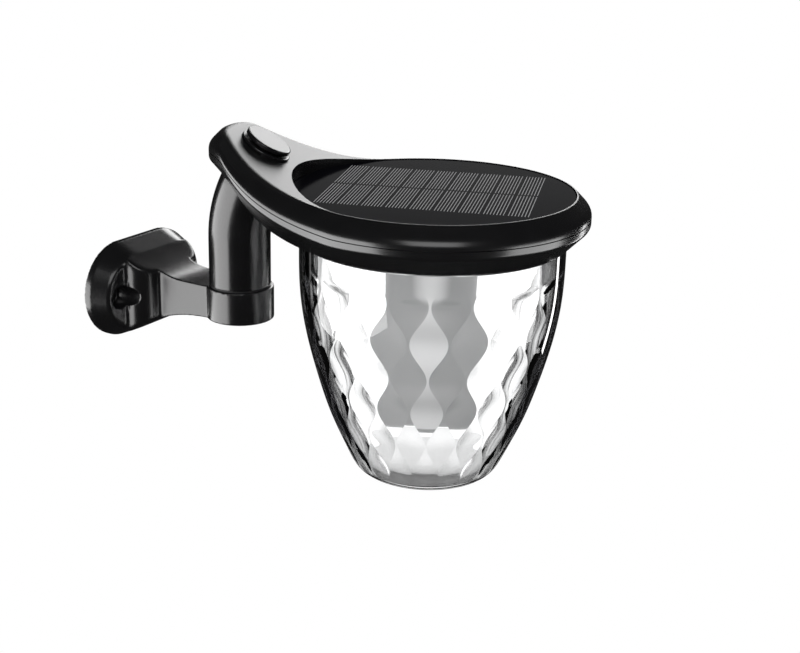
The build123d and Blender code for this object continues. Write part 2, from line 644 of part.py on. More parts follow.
# ================================================================ button and switch
def button_bezel():
    """Ring round the button, with the sleeve that guides it and holds the switch."""
    bezel = disc(BEZEL_R, -BEZEL_SUNK, BEZEL_TOP)
    bezel = fillet(bezel.edges().group_by(Axis.Z)[-1], BEZEL_EDGE)
    bezel += disc(BEZEL_SLEEVE_R, -BEZEL_SLEEVE_DEPTH, -BEZEL_SUNK)
    bezel -= disc(BUTTON_STEM_R + RUNNING_GAP, -FAR, FAR)
    room_top = BEZEL_TOP - BEZEL_GUIDE
    return on_ramp(bezel - disc(BEZEL_SLEEVE_R - CRADLE_WALL, -FAR, room_top), BUTTON_Y)


def bezel_seal():
    """Rubber ring under the bezel."""
    return on_ramp(ring(BEZEL_R, BEZEL_SLEEVE_R + SEAT_GAP, -BEZEL_SUNK - BEZEL_SEAL, -BEZEL_SUNK), BUTTON_Y)


def power_button():
    """Round push button with a flat top and a guided stem."""
    under = BEZEL_TOP + BUTTON_GROOVE
    cap = disc(BUTTON_R, under, under + BUTTON_THICK)
    cap = fillet(cap.edges().group_by(Axis.Z)[-1], BUTTON_EDGE)
    return on_ramp(cap + disc(BUTTON_STEM_R, -BUTTON_STEM_END, under), BUTTON_Y)


def switch_heights():
    """Heights of the switch board's face and the top of the switch, along the button's axis."""
    board_face = -BEZEL_SLEEVE_DEPTH + SWITCH_BOARD_THICK
    return board_face, board_face + SWITCH_BODY_HEIGHT


def switch_board():
    """Small round board that closes the sleeve and carries the switch."""
    face, _ = switch_heights()
    return on_ramp(disc(BEZEL_SLEEVE_R - CRADLE_WALL - SEAT_GAP, -BEZEL_SLEEVE_DEPTH, face), BUTTON_Y)


def switch_body():
    """Push switch with a blind hole for its plunger."""
    face, top = switch_heights()
    body = block(SWITCH_BODY, SWITCH_BODY, face, top)
    hole_end = top - PLUNGER_DEPTH - BUTTON_TRAVEL - PLUNGER_END_GAP
    return on_ramp(body - disc(PLUNGER_R + RUNNING_GAP, hole_end, top + OVERCUT), BUTTON_Y)


def switch_plunger():
    """Plunger between the button's stem and the switch's dome."""
    _, top = switch_heights()
    return on_ramp(disc(PLUNGER_R, top - PLUNGER_DEPTH, -BUTTON_STEM_END), BUTTON_Y)


# ================================================================ lamp
def lamp_screw_points():
    """Places of the screws that clamp the light tube under the lamp board."""
    return around(LAMP_SCREW_RING, evenly(LAMP_SCREW_COUNT, 0.0))


def led_board():
    """Round aluminium board that carries the lamps."""
    board = disc(LED_BOARD_R, LED_BOARD_SEAT, LED_BOARD_SEAT + LED_BOARD_THICK)
    for x, y in lamp_screw_points():
        board -= disc(LAMP_SCREW_R + SEAT_GAP, -FAR, FAR, x, y)
    return board


def led_chips():
    """One lamp in the middle and a ring of lamps round it."""
    low = LED_BOARD_SEAT - LED_THICK
    places = [(0.0, 0.0)] + around(LED_RING, evenly(LED_COUNT))
    return gather([block(LED_SIZE, LED_SIZE, low, LED_BOARD_SEAT, x, y) for x, y in places])


def lamp_tube():
    """Light tube with a flange above and a closed, rounded end below."""
    tube = disc(TUBE_R, TUBE_BOTTOM, FLOOR_TOP)
    tube = fillet(tube.edges().group_by(Axis.Z)[0], TUBE_EDGE)
    tube += disc(TUBE_FLANGE_R, FLOOR_TOP, LED_BOARD_SEAT)
    bore = disc(TUBE_R - TUBE_WALL, TUBE_BOTTOM + TUBE_WALL, LED_BOARD_SEAT + OVERCUT)
    tube -= fillet(bore.edges().group_by(Axis.Z)[0], TUBE_EDGE - TUBE_WALL)
    for x, y in lamp_screw_points():
        tube -= disc(LAMP_SCREW_R + SEAT_GAP, FLOOR_TOP - OVERCUT, LED_BOARD_SEAT + OVERCUT, x, y)
    return tube


def lamp_screws():
    """Small screws through the lamp board and the tube's flange."""
    top = LED_BOARD_SEAT + LED_BOARD_THICK
    one = screw(LAMP_SCREW_R, LAMP_HEAD_R, LAMP_HEAD_HEIGHT, top, -LID_THICK + SCREW_END_GAP)
    return gather([Pos(x, y, 0) * one for x, y in lamp_screw_points()])


def plate_peg_points():
    """Places of the pegs of the reflector plate."""
    return around(PLATE_PEG_RING, evenly(PLATE_PEG_COUNT, PLATE_PEG_TURN))


def lamp_plate():
    """Reflector plate under the floor, pressed into it with three pegs."""
    plate = ring(PLATE_R, TUBE_R + SEAT_GAP, -LID_THICK - PLATE_THICK, -LID_THICK)
    for x, y in plate_peg_points():
        plate += disc(PLATE_PEG_R, -LID_THICK, FLOOR_TOP - PLATE_PEG_SHORT, x, y)
    return plate


# ================================================================ shade
def on_belly(share):
    """A point of the shade's side, from its shares of the top radius and of the height."""
    return (SHADE_TOP_R * share[0], -LID_THICK - SHADE_HEIGHT * share[1])


def shade_outline():
    """Curved side of the shade (radius, height) down to its heel."""
    slope = radians(HEEL_SLOPE)
    points = [on_belly(share) for share in BELLY_SHARES]
    return Spline((SHADE_TOP_R, -LID_THICK), *points, on_belly(HEEL_SHARES),
                  tangents=((0, -1), (-cos(slope), -sin(slope))))


def shade_radius(height):
    """Outer radius of the shade at a height, read off its curved side."""
    side = shade_outline()
    low, high = 0.0, 1.0
    for _ in range(30):
        middle = (low + high) / 2
        if (side @ middle).Y > height:
            low = middle
        else:
            high = middle
    return (side @ low).X


def facet_rows():
    """Corner rings of the diamond facets: height, radius and half-step turn."""
    rows = []
    for index in range(FACET_ROWS):
        height = FACET_TOP - FACET_PITCH * index
        rows.append((height, shade_radius(height) - FACET_WALL, index % 2))
    rows.append((SHADE_FLOOR, SHADE_BASE_R - SHADE_BASE_LIP, FACET_ROWS % 2))
    return rows


def facet_ring(height, radius, half_step):
    """Corners of one ring of facets."""
    step = 360.0 / FACETS_AROUND
    angles = [(index + 0.5 * half_step) * step for index in range(FACETS_AROUND)]
    return [(x, y, height) for x, y in around(radius, angles)]


def facet_core():
    """Inner space of the shade, a many-sided body of staggered diamond facets."""
    rows = facet_rows()
    rings = [facet_ring(*row) for row in rows]
    faces = [Face(Wire.make_polygon(rings[0])), Face(Wire.make_polygon(rings[-1]))]
    for row, upper, lower in zip(rows, rings, rings[1:]):
        for index in range(FACETS_AROUND):
            after = (index + 1) % FACETS_AROUND
            pointing_down = (upper[index], upper[after], lower[after if row[2] else index])
            pointing_up = (lower[index], lower[after], upper[index if row[2] else after])
            faces += [Face(Wire.make_polygon(corners)) for corners in (pointing_down, pointing_up)]
    return Solid(Shell(faces))


def shade():
    """Clear shade, smooth outside and cut into diamond facets inside."""
    side = shade_outline()
    top = (SHADE_TOP_R, -LID_THICK)
    heel = TangentArc(side @ 1, (SHADE_BASE_R, SHADE_BOTTOM), tangent=side % 1)
    spigot_r = SHADE_BORE + SHADE_SPIGOT_WALL
    profile = make_face([
        side,
        heel,
        Line((SHADE_BASE_R, SHADE_BOTTOM), (0, SHADE_BOTTOM)),
        Line((0, SHADE_BOTTOM), (0, SPIGOT_TOP)),
        Line((0, SPIGOT_TOP), (spigot_r, SPIGOT_TOP)),
        Line((spigot_r, SPIGOT_TOP), (spigot_r, -LID_THICK)),
        Line((spigot_r, -LID_THICK), top),
    ])
    glass = revolve(Plane.XZ * profile, Axis.Z)
    neck_r = shade_radius(FACET_TOP) - FACET_WALL
    mouth = make_face([
        Line((0, FACET_TOP), (neck_r, FACET_TOP)),
        Line((neck_r, FACET_TOP), (SHADE_BORE, -LID_THICK)),
        Line((SHADE_BORE, -LID_THICK), (SHADE_BORE, 0)),
        Line((SHADE_BORE, 0), (0, 0)),
        Line((0, 0), (0, FACET_TOP)),
    ])
    return glass - revolve(Plane.XZ * mouth, Axis.Z) - facet_core()


def shade_gasket():
    """Rubber ring over the shade's spigot."""
    return ring(SHADE_BORE + SHADE_SPIGOT_WALL, SHADE_BORE, SPIGOT_TOP, GROOVE_TOP)


# ================================================================ assembly
def build():
    """Every piece by the name of its node, at its resting place."""
    envelope = lid_envelope()
    head = {
        "lower_shell": lower_shell(envelope),
        "upper_shell": upper_shell(envelope),
        "shell_gasket": gasket_strip(),
        "shell_screws": shell_screws(),
        "solar_panel": solar_panel(),
        "panel_tape": panel_tape(),
        "circuit_board": circuit_board(),
        "board_components": board_components(),
        "board_screws": board_screws(),
        "battery": battery(),
        "battery_cradle": battery_cradle(),
        "battery_contacts": battery_contacts(),
        "led_board": led_board(),
        "led_chips": led_chips(),
        "lamp_tube": lamp_tube(),
        "lamp_screws": lamp_screws(),
        "lamp_plate": lamp_plate(),
        "shade": shade(),
        "shade_gasket": shade_gasket(),
        "button_bezel": button_bezel(),
        "bezel_seal": bezel_seal(),
        "power_button": power_button(),
        "switch_plunger": switch_plunger(),
        "switch_body": switch_body(),
        "switch_board": switch_board(),
    }
    pieces = {name: to_row(shape) for name, shape in head.items()}
    pieces["wall_bracket"] = wall_bracket()
    pieces["friction_washer"] = friction_washer()
    pieces["swivel_washer"] = swivel_washer()
    pieces["swivel_screw"] = swivel_screw()
    pieces["post_tube"] = post_tube(envelope)
    pieces["post_screws"] = post_screws()
    return pieces


os.makedirs("parts", exist_ok=True)
for node, piece in build().items():
    export_step(piece, f"parts/{node}.step")
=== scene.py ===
"""Visual model of the solar wall light, dressed over its measured frame.

Everything is in metres, in the frame of the measured model: the origin is the centre of the
bracket's back face, +Y points into the wall and +Z points up. Pieces of the head are drawn
straight ahead about the centre of the solar panel's rim and are then carried to their place.
"""
import json
import logging
from contextlib import contextmanager
from dataclasses import dataclass, field
from enum import Enum
from math import atan2, cos, hypot, pi, radians, sin
from typing import Callable, Iterator, Sequence

import bmesh
import bpy
import numpy as np
from mathutils import Matrix, Vector


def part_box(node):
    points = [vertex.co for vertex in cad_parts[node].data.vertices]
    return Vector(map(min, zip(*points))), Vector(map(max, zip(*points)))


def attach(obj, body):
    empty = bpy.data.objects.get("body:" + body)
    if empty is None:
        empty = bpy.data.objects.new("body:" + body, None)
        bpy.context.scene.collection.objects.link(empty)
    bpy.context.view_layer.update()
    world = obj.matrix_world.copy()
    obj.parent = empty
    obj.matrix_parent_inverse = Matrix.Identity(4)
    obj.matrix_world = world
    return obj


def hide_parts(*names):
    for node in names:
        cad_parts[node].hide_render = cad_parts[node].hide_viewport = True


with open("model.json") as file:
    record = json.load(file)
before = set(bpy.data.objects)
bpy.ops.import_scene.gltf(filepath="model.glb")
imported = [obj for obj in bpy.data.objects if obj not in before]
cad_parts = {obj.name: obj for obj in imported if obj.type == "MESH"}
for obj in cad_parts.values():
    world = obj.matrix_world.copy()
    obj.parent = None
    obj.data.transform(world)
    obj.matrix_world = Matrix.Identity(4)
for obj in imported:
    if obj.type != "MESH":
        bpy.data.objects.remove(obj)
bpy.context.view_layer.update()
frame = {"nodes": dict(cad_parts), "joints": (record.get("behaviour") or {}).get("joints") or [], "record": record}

MM = 0.001
log = logging.getLogger("solar_wall_light")


class Body(Enum):
    """The bodies that pieces ride on."""

    BRACKET = "bracket"
    HEAD = "head"
    BUTTON = "button"


class Seen(Enum):
    """Kinds of ray that a background can answer differently."""

    CAMERA = "Is Camera Ray"
    GLOSSY = "Is Glossy Ray"
    TRANSMISSION = "Is Transmission Ray"


# ---------------------------------------------------------------- the head's own frame
class Lid:
    """Sizes of the lid that more than one piece refers to."""

    PANEL_SUNK = 0.3 * MM
    THICK = 17.3 * MM


def head_place() -> Matrix:
    """Finds where the head's own frame lies, from the panel and the swivel axis.

    Returns:
        The matrix that carries a point of the head's own frame to the shared frame.
    """
    low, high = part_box("solar_panel")
    centre = (low + high) / 2
    swivel = next(joint for joint in frame["joints"] if joint["name"] == "head_swivel")
    axis = Vector(swivel["pos_m"])
    ahead = Vector((centre.x - axis.x, centre.y - axis.y, 0.0))
    turn = atan2(ahead.x, -ahead.y)
    rim = Vector((centre.x, centre.y, high.z + Lid.PANEL_SUNK))
    return Matrix.Translation(rim) @ Matrix.Rotation(turn, 4, "Z")


# ---------------------------------------------------------------- steps at the bench
def only(piece: bpy.types.Object) -> None:
    """Selects one object and makes it the active one.

    Args:
        piece: The object.
    """
    bpy.ops.object.select_all(action="DESELECT")
    piece.select_set(True)
    bpy.context.view_layer.objects.active = piece


@contextmanager
def editing(piece: bpy.types.Object) -> Iterator[bmesh.types.BMesh]:
    """Opens a piece in edit mode with nothing selected.

    Args:
        piece: The mesh object to edit.

    Yields:
        The edit mesh, for picking edges by their place.
    """
    only(piece)
    bpy.ops.object.mode_set(mode="EDIT")
    bpy.ops.mesh.select_all(action="DESELECT")
    try:
        yield bmesh.from_edit_mesh(piece.data)
    finally:
        bpy.ops.object.mode_set(mode="OBJECT")


def pick_edges(mesh: bmesh.types.BMesh, test: Callable[[bmesh.types.BMEdge], bool]) -> int:
    """Selects the edges that pass a test, and nothing else.

    Args:
        mesh: The edit mesh.
        test: Says whether an edge is wanted.

    Returns:
        How many edges are selected.
    """
    bpy.ops.mesh.select_mode(type="EDGE")
    bpy.ops.mesh.select_all(action="DESELECT")
    wanted = [edge for edge in mesh.edges if test(edge)]
    for edge in wanted:
        edge.select_set(True)
    return len(wanted)


def edge_turn(edge: bmesh.types.BMEdge) -> float:
    """Angle between the two faces of an edge, or zero at an open one."""
    return edge.calc_face_angle(0.0) if edge.is_manifold else 0.0


def edge_middle(edge: bmesh.types.BMEdge) -> Vector:
    """Middle of an edge."""
    return (edge.verts[0].co + edge.verts[1].co) / 2


def named(piece: bpy.types.Object, name: str) -> bpy.types.Object:
    """Gives an object and its mesh the same name.

    Args:
        piece: The object.
        name: The name.

    Returns:
        The same object.
    """
    piece.name = name
    piece.data.name = name
    return piece


def placed(name: str, mesh: bpy.types.Mesh) -> bpy.types.Object:
    """Adds a mesh to the scene.

    Args:
        name: Name of the new piece.
        mesh: Its mesh.

    Returns:
        The piece, at the origin.
    """
    piece = bpy.data.objects.new(name, mesh)
    bpy.context.scene.collection.objects.link(piece)
    return named(piece, name)


def carry(piece: bpy.types.Object, place: Matrix) -> bpy.types.Object:
    """Moves a piece's mesh to its place and leaves the object at the origin.

    Args:
        piece: The mesh object.
        place: Carries the mesh to its place.

    Returns:
        The same object.
    """
    only(piece)
    bpy.ops.object.transform_apply(location=True, rotation=True, scale=True)
    piece.data.transform(place)
    piece.data.update()
    return piece


def modify(piece: bpy.types.Object, kind: str, **values: object) -> None:
    """Adds a modifier to a piece and applies it.

    Args:
        piece: The mesh object.
        kind: Type name of the modifier.
        **values: The modifier's settings.
    """
    only(piece)
    bpy.ops.object.modifier_add(type=kind)
    modifier = piece.modifiers[-1]
    for key, value in values.items():
        setattr(modifier, key, value)
    bpy.ops.object.modifier_apply(modifier=modifier.name)


def smooth(piece: bpy.types.Object, angle: float) -> None:
    """Shades a piece smooth, with creases where faces turn by more than an angle in degrees."""
    only(piece)
    bpy.ops.object.shade_smooth_by_angle(angle=radians(angle), keep_sharp_edges=True)


def even_shading(piece: bpy.types.Object, angle: float = 30.0) -> None:
    """Shades a piece smooth and lets its large faces rule, so that flats stay flat.

    Args:
        piece: The mesh object.
        angle: Turn in degrees past which an edge is a crease.
    """
    smooth(piece, angle)
    modify(piece, "WEIGHTED_NORMAL", keep_sharp=True)


def cast(node: str, name: str, weld: float = 0.002 * MM, flat: float = 0.2) -> bpy.types.Object:
    """Takes a merged copy of a measured piece, ready to be finished.

    Args:
        node: The measured piece.
        name: Name of the new piece.
        weld: Distance below which two points are one.
        flat: Turn in degrees below which two triangles are one face.

    Returns:
        The copy, with its coplanar triangles joined.
    """
    piece = placed(name, frame["nodes"][node].data.copy())
    piece.data.materials.clear()
    with editing(piece):
        bpy.ops.mesh.select_all(action="SELECT")
        bpy.ops.mesh.remove_doubles(threshold=weld)
        bpy.ops.mesh.dissolve_limited(angle_limit=radians(flat))
    return piece


def round_edges(piece: bpy.types.Object, width: float, wanted: Callable[[bmesh.types.BMEdge], bool],
                segments: int = 3) -> None:
    """Rounds the edges that pass a test.

    Args:
        piece: The mesh object.
        width: Width of the rounding.
        wanted: Says whether an edge is rounded.
        segments: Faces across the rounding.
    """
    with editing(piece) as mesh:
        count = pick_edges(mesh, wanted)
        bpy.ops.mesh.bevel(offset=width, offset_type="OFFSET", segments=segments, profile=0.5,
                           clamp_overlap=True, affect="EDGES")
    log.debug("%s: %d edges rounded", piece.name, count)


def loft(name: str, rings: Sequence[np.ndarray], weld: float = 0.001 * MM) -> bpy.types.Object:
    """Joins rings of points into a skin, welding points that fall together.

    Args:
        name: Name of the new piece.
        rings: Rings with the same number of points each.
        weld: Distance below which two points are one.

    Returns:
        The closed skin with its faces turned outwards.
    """
    count = len(rings[0])
    points = [tuple(point) for ring in rings for point in ring]
    faces = []
    for row in range(len(rings) - 1):
        low, high = row * count, (row + 1) * count
        for at in range(count):
            after = (at + 1) % count
            faces.append((low + at, low + after, high + after, high + at))
    mesh = bpy.data.meshes.new(name)
    mesh.from_pydata(points, [], faces)
    piece = placed(name, mesh)
    with editing(piece):
        bpy.ops.mesh.select_all(action="SELECT")
        bpy.ops.mesh.remove_doubles(threshold=weld)
        bpy.ops.mesh.normals_make_consistent(inside=False)
    return piece


# ---------------------------------------------------------------- finishes
class Graph:
    """A material's node graph, built by short calls."""

    LOOKS_UP = (0.72, 0.8)
    GRAIN_STRENGTH = 0.35

    def __init__(self, name: str) -> None:
        """Starts an empty material with one Principled shader.

        Args:
            name: Name of the material.
        """
        self.material = bpy.data.materials.new(name)
        self.material.use_nodes = True
        self.nodes = self.material.node_tree.nodes
        self.links = self.material.node_tree.links
        self.shader = self.nodes["Principled BSDF"]

    def set(self, **values: object) -> None:
        """Sets the shader's own sockets; underscores in a name stand for spaces."""
        for key, value in values.items():
            self.shader.inputs[key.replace("_", " ")].default_value = value

    def add(self, kind: str, **values: object) -> bpy.types.Node:
        """Adds a node.

        Args:
            kind: Type name of the node.
            **values: Its properties, or its input sockets with spaces as underscores.

        Returns:
            The node.
        """
        node = self.nodes.new(kind)
        for key, value in values.items():
            if hasattr(node, key):
                setattr(node, key, value)
            else:
                node.inputs[key.replace("_", " ")].default_value = value
        return node

    def join(self, source: bpy.types.NodeSocket, target: bpy.types.NodeSocket) -> None:
        """Links two sockets."""
        self.links.new(source, target)

    def place(self) -> bpy.types.NodeSocket:
        """Object coordinates."""
        return self.add("ShaderNodeTexCoord").outputs["Object"]

    def facing(self) -> bpy.types.NodeSocket:
        """Share that is 0 where the surface faces the viewer and 1 where it is seen edge on."""
        return self.add("ShaderNodeLayerWeight", Blend=0.5).outputs["Facing"]

    def noise(self, size: float, detail: float = 2.0) -> bpy.types.NodeSocket:
        """Adds a fine noise.

        Args:
            size: About the size of its lumps in metres.
            detail: Octaves of finer lumps.

        Returns:
            The noise as a share.
        """
        node = self.add("ShaderNodeTexNoise", Scale=1.0 / size, Detail=detail)
        self.join(self.place(), node.inputs["Vector"])
        return node.outputs["Fac"]

    def spread(self, share: bpy.types.NodeSocket, **values: object) -> bpy.types.NodeSocket:
        """Maps one range of a share to another.

        Args:
            share: The share.
            **values: Settings of the Map Range node.

        Returns:
            The mapped share.
        """
        node = self.add("ShaderNodeMapRange", **values)
        self.join(share, node.inputs["Value"])
        return node.outputs["Result"]

    def duller_above(self, roughness: bpy.types.NodeSocket, top: float) -> bpy.types.NodeSocket:
        """Lets a roughness rise to another value where the surface looks up.

        Args:
            roughness: The roughness elsewhere.
            top: The roughness of what looks up.

        Returns:
            The roughness of the whole surface.
        """
        split = self.add("ShaderNodeSeparateXYZ")
        self.join(self.add("ShaderNodeTexCoord").outputs["Normal"], split.inputs[0])
        low, high = self.LOOKS_UP
        blend = self.add("ShaderNodeMix", B=top)
        self.join(self.spread(split.outputs["Z"], From_Min=low, From_Max=high), blend.inputs["Factor"])
        self.join(roughness, blend.inputs["A"])
        return blend.outputs["Result"]

    def grain(self, size: float, depth: float) -> None:
        """Gives the surface a fine moulded grain.

        Args:
            size: Size of the grain in metres.
            depth: Its depth in metres.
        """
        bump = self.add("ShaderNodeBump", Strength=self.GRAIN_STRENGTH, Distance=depth)
        self.join(self.noise(size), bump.inputs["Height"])
        self.join(bump.outputs["Normal"], self.shader.inputs["Normal"])

    def colour(self, share: bpy.types.NodeSocket, first: Sequence[float], last: Sequence[float]) -> None:
        """Colours the surface by a share.

        Args:
            share: Goes from 0 at the first colour to 1 at the last.
            first: The first colour.
            last: The last colour.
        """
        ramp = self.add("ShaderNodeValToRGB")
        ramp.color_ramp.elements[0].color = (*first, 1.0)
        ramp.color_ramp.elements[1].color = (*last, 1.0)
        self.join(share, ramp.inputs["Fac"])
        self.join(ramp.outputs["Color"], self.shader.inputs["Base Color"])

    def roughen(self, share: bpy.types.NodeSocket, low: float, high: float, top: float = 0.0) -> None:
        """Lets the roughness vary by a share.

        Args:
            share: Goes from 0 where the surface is shiniest to 1 where it is dullest.
            low: The least roughness.
            high: The most roughness.
            top: The roughness of what looks up, or 0 where that doesn't differ.
        """
        dull = self.spread(share, To_Min=low, To_Max=high)
        if top:
            dull = self.duller_above(dull, top)
        self.join(dull, self.shader.inputs["Roughness"])


@dataclass(frozen=True)
class Moulded:
    """Opaque moulded plastic, rubber or sleeve."""

    name: str
    dark: tuple[float, float, float]
    light: tuple[float, float, float]
    roughness: tuple[float, float]
    specular: float = 0.5
    satin_top: float = 0.0
    cloud: float = 9.0 * MM
    grain_size: float = 0.35 * MM
    grain_depth: float = 0.01 * MM

    def material(self) -> bpy.types.Material:
        """Builds the material.

        Returns:
            The material.
        """
        graph = Graph(self.name)
        clouds = graph.noise(self.cloud)
        graph.set(Specular_IOR_Level=self.specular)
        graph.colour(clouds, self.dark, self.light)
        graph.roughen(clouds, *self.roughness, self.satin_top)
        graph.grain(self.grain_size, self.grain_depth)
        return graph.material


@dataclass(frozen=True)
class Metal:
    """Turned or plated metal with fine machining marks."""

    name: str
    colour: tuple[float, float, float]
    roughness: tuple[float, float]
    marks: float = 0.25 * MM
    mark_depth: float = 0.004 * MM
    mark_detail: float = 4.0
    mark_tone: float = 0.8

    def material(self) -> bpy.types.Material:
        """Builds the material.

        Returns:
            The material.
        """
        graph = Graph(self.name)
        marks = graph.noise(self.marks, self.mark_detail)
        graph.set(Metallic=1.0)
        graph.colour(marks, [self.mark_tone * channel for channel in self.colour], self.colour)
        graph.roughen(marks, *self.roughness)
        graph.grain(self.marks, self.mark_depth)
        return graph.material


@dataclass(frozen=True)
class ClearShade:
    """Clear plastic with painted shade where it is seen edge on, and less of that shade near its foot."""

    name: str = "clear_shade"
    body: tuple[float, float, float] = (0.985, 0.988, 0.99)
    # edge: near-black colour of the painted shade, standing in for the dark surroundings that the shade's edges
    # reflect and bend.
    edge: tuple[float, float, float] = (0.004, 0.004, 0.0045)
    shine: float = 0.2
    painted_edge_shade_range: tuple[float, float] = (0.45, 0.66)
    painted_inner_shade_range: tuple[float, float] = (0.15, 0.27)
    painted_shade_foot_range: tuple[float, float] = (-56.8 * MM, -38.0 * MM)
    painted_shade_at_foot: float = 0.55
    index: float = 1.49

    def material(self) -> bpy.types.Material:
        """Builds the material.

        Returns:
            The material.
        """
        graph = Graph(self.name)
        graph.set(Roughness=0.0, IOR=self.index, Transmission_Weight=1.0, Specular_IOR_Level=self.shine)
        # Painted shade: the colour runs to near black where front or back faces are seen edge on, in place of
        # reflected and bent dark surroundings, and less so near the foot.
        facing = graph.facing()
        side = graph.add("ShaderNodeMix")
        graph.join(graph.add("ShaderNodeNewGeometry").outputs["Backfacing"], side.inputs["Factor"])
        for (low, high), socket in ((self.painted_edge_shade_range, "A"), (self.painted_inner_shade_range, "B")):
            edge_on = graph.spread(facing, interpolation_type="SMOOTHSTEP", From_Min=low, From_Max=high)
            graph.join(edge_on, side.inputs[socket])
        split = graph.add("ShaderNodeSeparateXYZ")
        graph.join(graph.place(), split.inputs[0])
        low, high = self.painted_shade_foot_range
        calm = graph.spread(split.outputs["Z"], From_Min=low, From_Max=high, To_Min=self.painted_shade_at_foot)
        share = graph.add("ShaderNodeMath", operation="MULTIPLY")
        graph.join(side.outputs["Result"], share.inputs[0])
        graph.join(calm, share.inputs[1])
        graph.colour(share.outputs[0], self.body, self.edge)
        return graph.material


@dataclass(frozen=True)
class FrostedTube:
    """Milky translucent plastic of the light tube, with painted shade towards its sides and a painted lit middle.
    """

    name: str = "frosted_tube"
    # side and middle: colours of the painted shade on the tube's sides and of its painted lit middle, where it
    # faces the viewer.
    side: tuple[float, float, float] = (0.37, 0.373, 0.376)
    middle: tuple[float, float, float] = (0.98, 0.98, 0.98)
    painted_side_shade_range: tuple[float, float] = (0.01, 0.16)
    roughness: float = 0.42
    clearness: float = 0.1
    index: float = 1.49
    grain_size: float = 0.2 * MM
    grain_depth: float = 0.01 * MM

    def material(self) -> bpy.types.Material:
        """Builds the material.

        Returns:
            The material.
        """
        graph = Graph(self.name)
        graph.set(Roughness=self.roughness, Transmission_Weight=self.clearness, IOR=self.index)
        # Painted light and shade: white where the tube faces the viewer, darker towards the sides where it is seen
        # edge on.
        low, high = self.painted_side_shade_range
        share = graph.spread(graph.facing(), interpolation_type="SMOOTHSTEP", From_Min=low, From_Max=high)
        graph.colour(share, self.middle, self.side)
        graph.grain(self.grain_size, self.grain_depth)
        return graph.material


def finishes() -> dict[str, bpy.types.Material]:
    """Builds the materials.

    Returns:
        The materials by the name of their slot, and the silver of the cells' lines.
    """
    black = (0.006, 0.006, 0.0065)
    soft_black = (0.011, 0.011, 0.012)
    kinds = (
        Moulded("bracket_plastic", black, soft_black, (0.2, 0.26), 0.6),
        Moulded("post_plastic", black, soft_black, (0.18, 0.23), 0.6),
        Moulded("lid_plastic", black, soft_black, (0.2, 0.25), 0.7, 0.4, grain_depth=0.004 * MM),
        Moulded("button_plastic", black, soft_black, (0.15, 0.2), 0.7, 0.36),
        Moulded("washer_nylon", (0.01, 0.01, 0.011), (0.018, 0.018, 0.019), (0.45, 0.55)),
        Moulded("seal_rubber", (0.008, 0.008, 0.008), (0.014, 0.014, 0.014), (0.6, 0.75), 0.3),
        Moulded("foam_tape", (0.02, 0.02, 0.02), (0.04, 0.04, 0.04), (0.85, 0.95), 0.2,
                cloud=0.6 * MM, grain_depth=0.06 * MM),
        Moulded("solar_laminate", (0.0035, 0.0035, 0.0045), (0.005, 0.005, 0.007), (0.1, 0.14), 0.0003,
                cloud=14.0 * MM, grain_depth=0.002 * MM),
        Moulded("cell_silver", (0.5, 0.5, 0.51), (0.6, 0.6, 0.61), (0.5, 0.6), 0.01),
        Moulded("board_laminate", (0.01, 0.09, 0.035), (0.015, 0.13, 0.05), (0.3, 0.4), cloud=1.4 * MM),
        Moulded("component_black", (0.01, 0.01, 0.01), (0.03, 0.03, 0.03), (0.5, 0.6)),
        Moulded("component_white", (0.62, 0.62, 0.6), (0.72, 0.72, 0.7), (0.4, 0.5)),
        Moulded("battery_sleeve", (0.02, 0.13, 0.07), (0.03, 0.18, 0.1), (0.25, 0.35)),
        Moulded("lamp_board", (0.62, 0.62, 0.6), (0.74, 0.74, 0.72), (0.35, 0.45)),
        Moulded("lamp_phosphor", (0.72, 0.6, 0.1), (0.82, 0.7, 0.16), (0.4, 0.5)),
        Moulded("reflector_white", (0.6, 0.6, 0.6), (0.68, 0.68, 0.68), (0.3, 0.4)),
        Metal("fastener_steel", (0.56, 0.56, 0.55), (0.25, 0.4)),
        Metal("contact_nickel", (0.66, 0.64, 0.6), (0.2, 0.32)),
    )
    materials = {kind.name: kind.material() for kind in kinds}
    return materials | {"tube_frosted": FrostedTube().material(), "shade_clear": ClearShade().material()}


# ---------------------------------------------------------------- hand-over
@dataclass
class Fitter:
    """Dresses pieces and hands them to the bodies that carry them."""

    materials: dict[str, bpy.types.Material]

    def dress(self, piece: bpy.types.Object, finish: str) -> None:
        """Gives a piece one material."""
        piece.data.materials.clear()
        piece.data.materials.append(self.materials[finish])

    def fit(self, piece: bpy.types.Object, body: Body, slot: str, *nodes: str, finish: str = "") -> None:
        """Dresses a new piece and makes it ride.

        Args:
            piece: The finished piece, in place.
            body: The body that it rides on.
            slot: Its finish slot.
            *nodes: The measured pieces that it stands for.
            finish: Name of its material, where that isn't the slot's own.
        """
        self.dress(piece, finish or slot)
        if nodes:
            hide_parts(*nodes)
        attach(piece, body.value)
        log.info("%s: %d faces, rides on %s", piece.name, len(piece.data.polygons), body.value)

    def dress_measured(self) -> None:
        """Dresses every measured piece by its own slot."""
        for part in frame["record"]["subparts"]:
            self.dress(frame["nodes"][part["node"]], part["material_slot"])


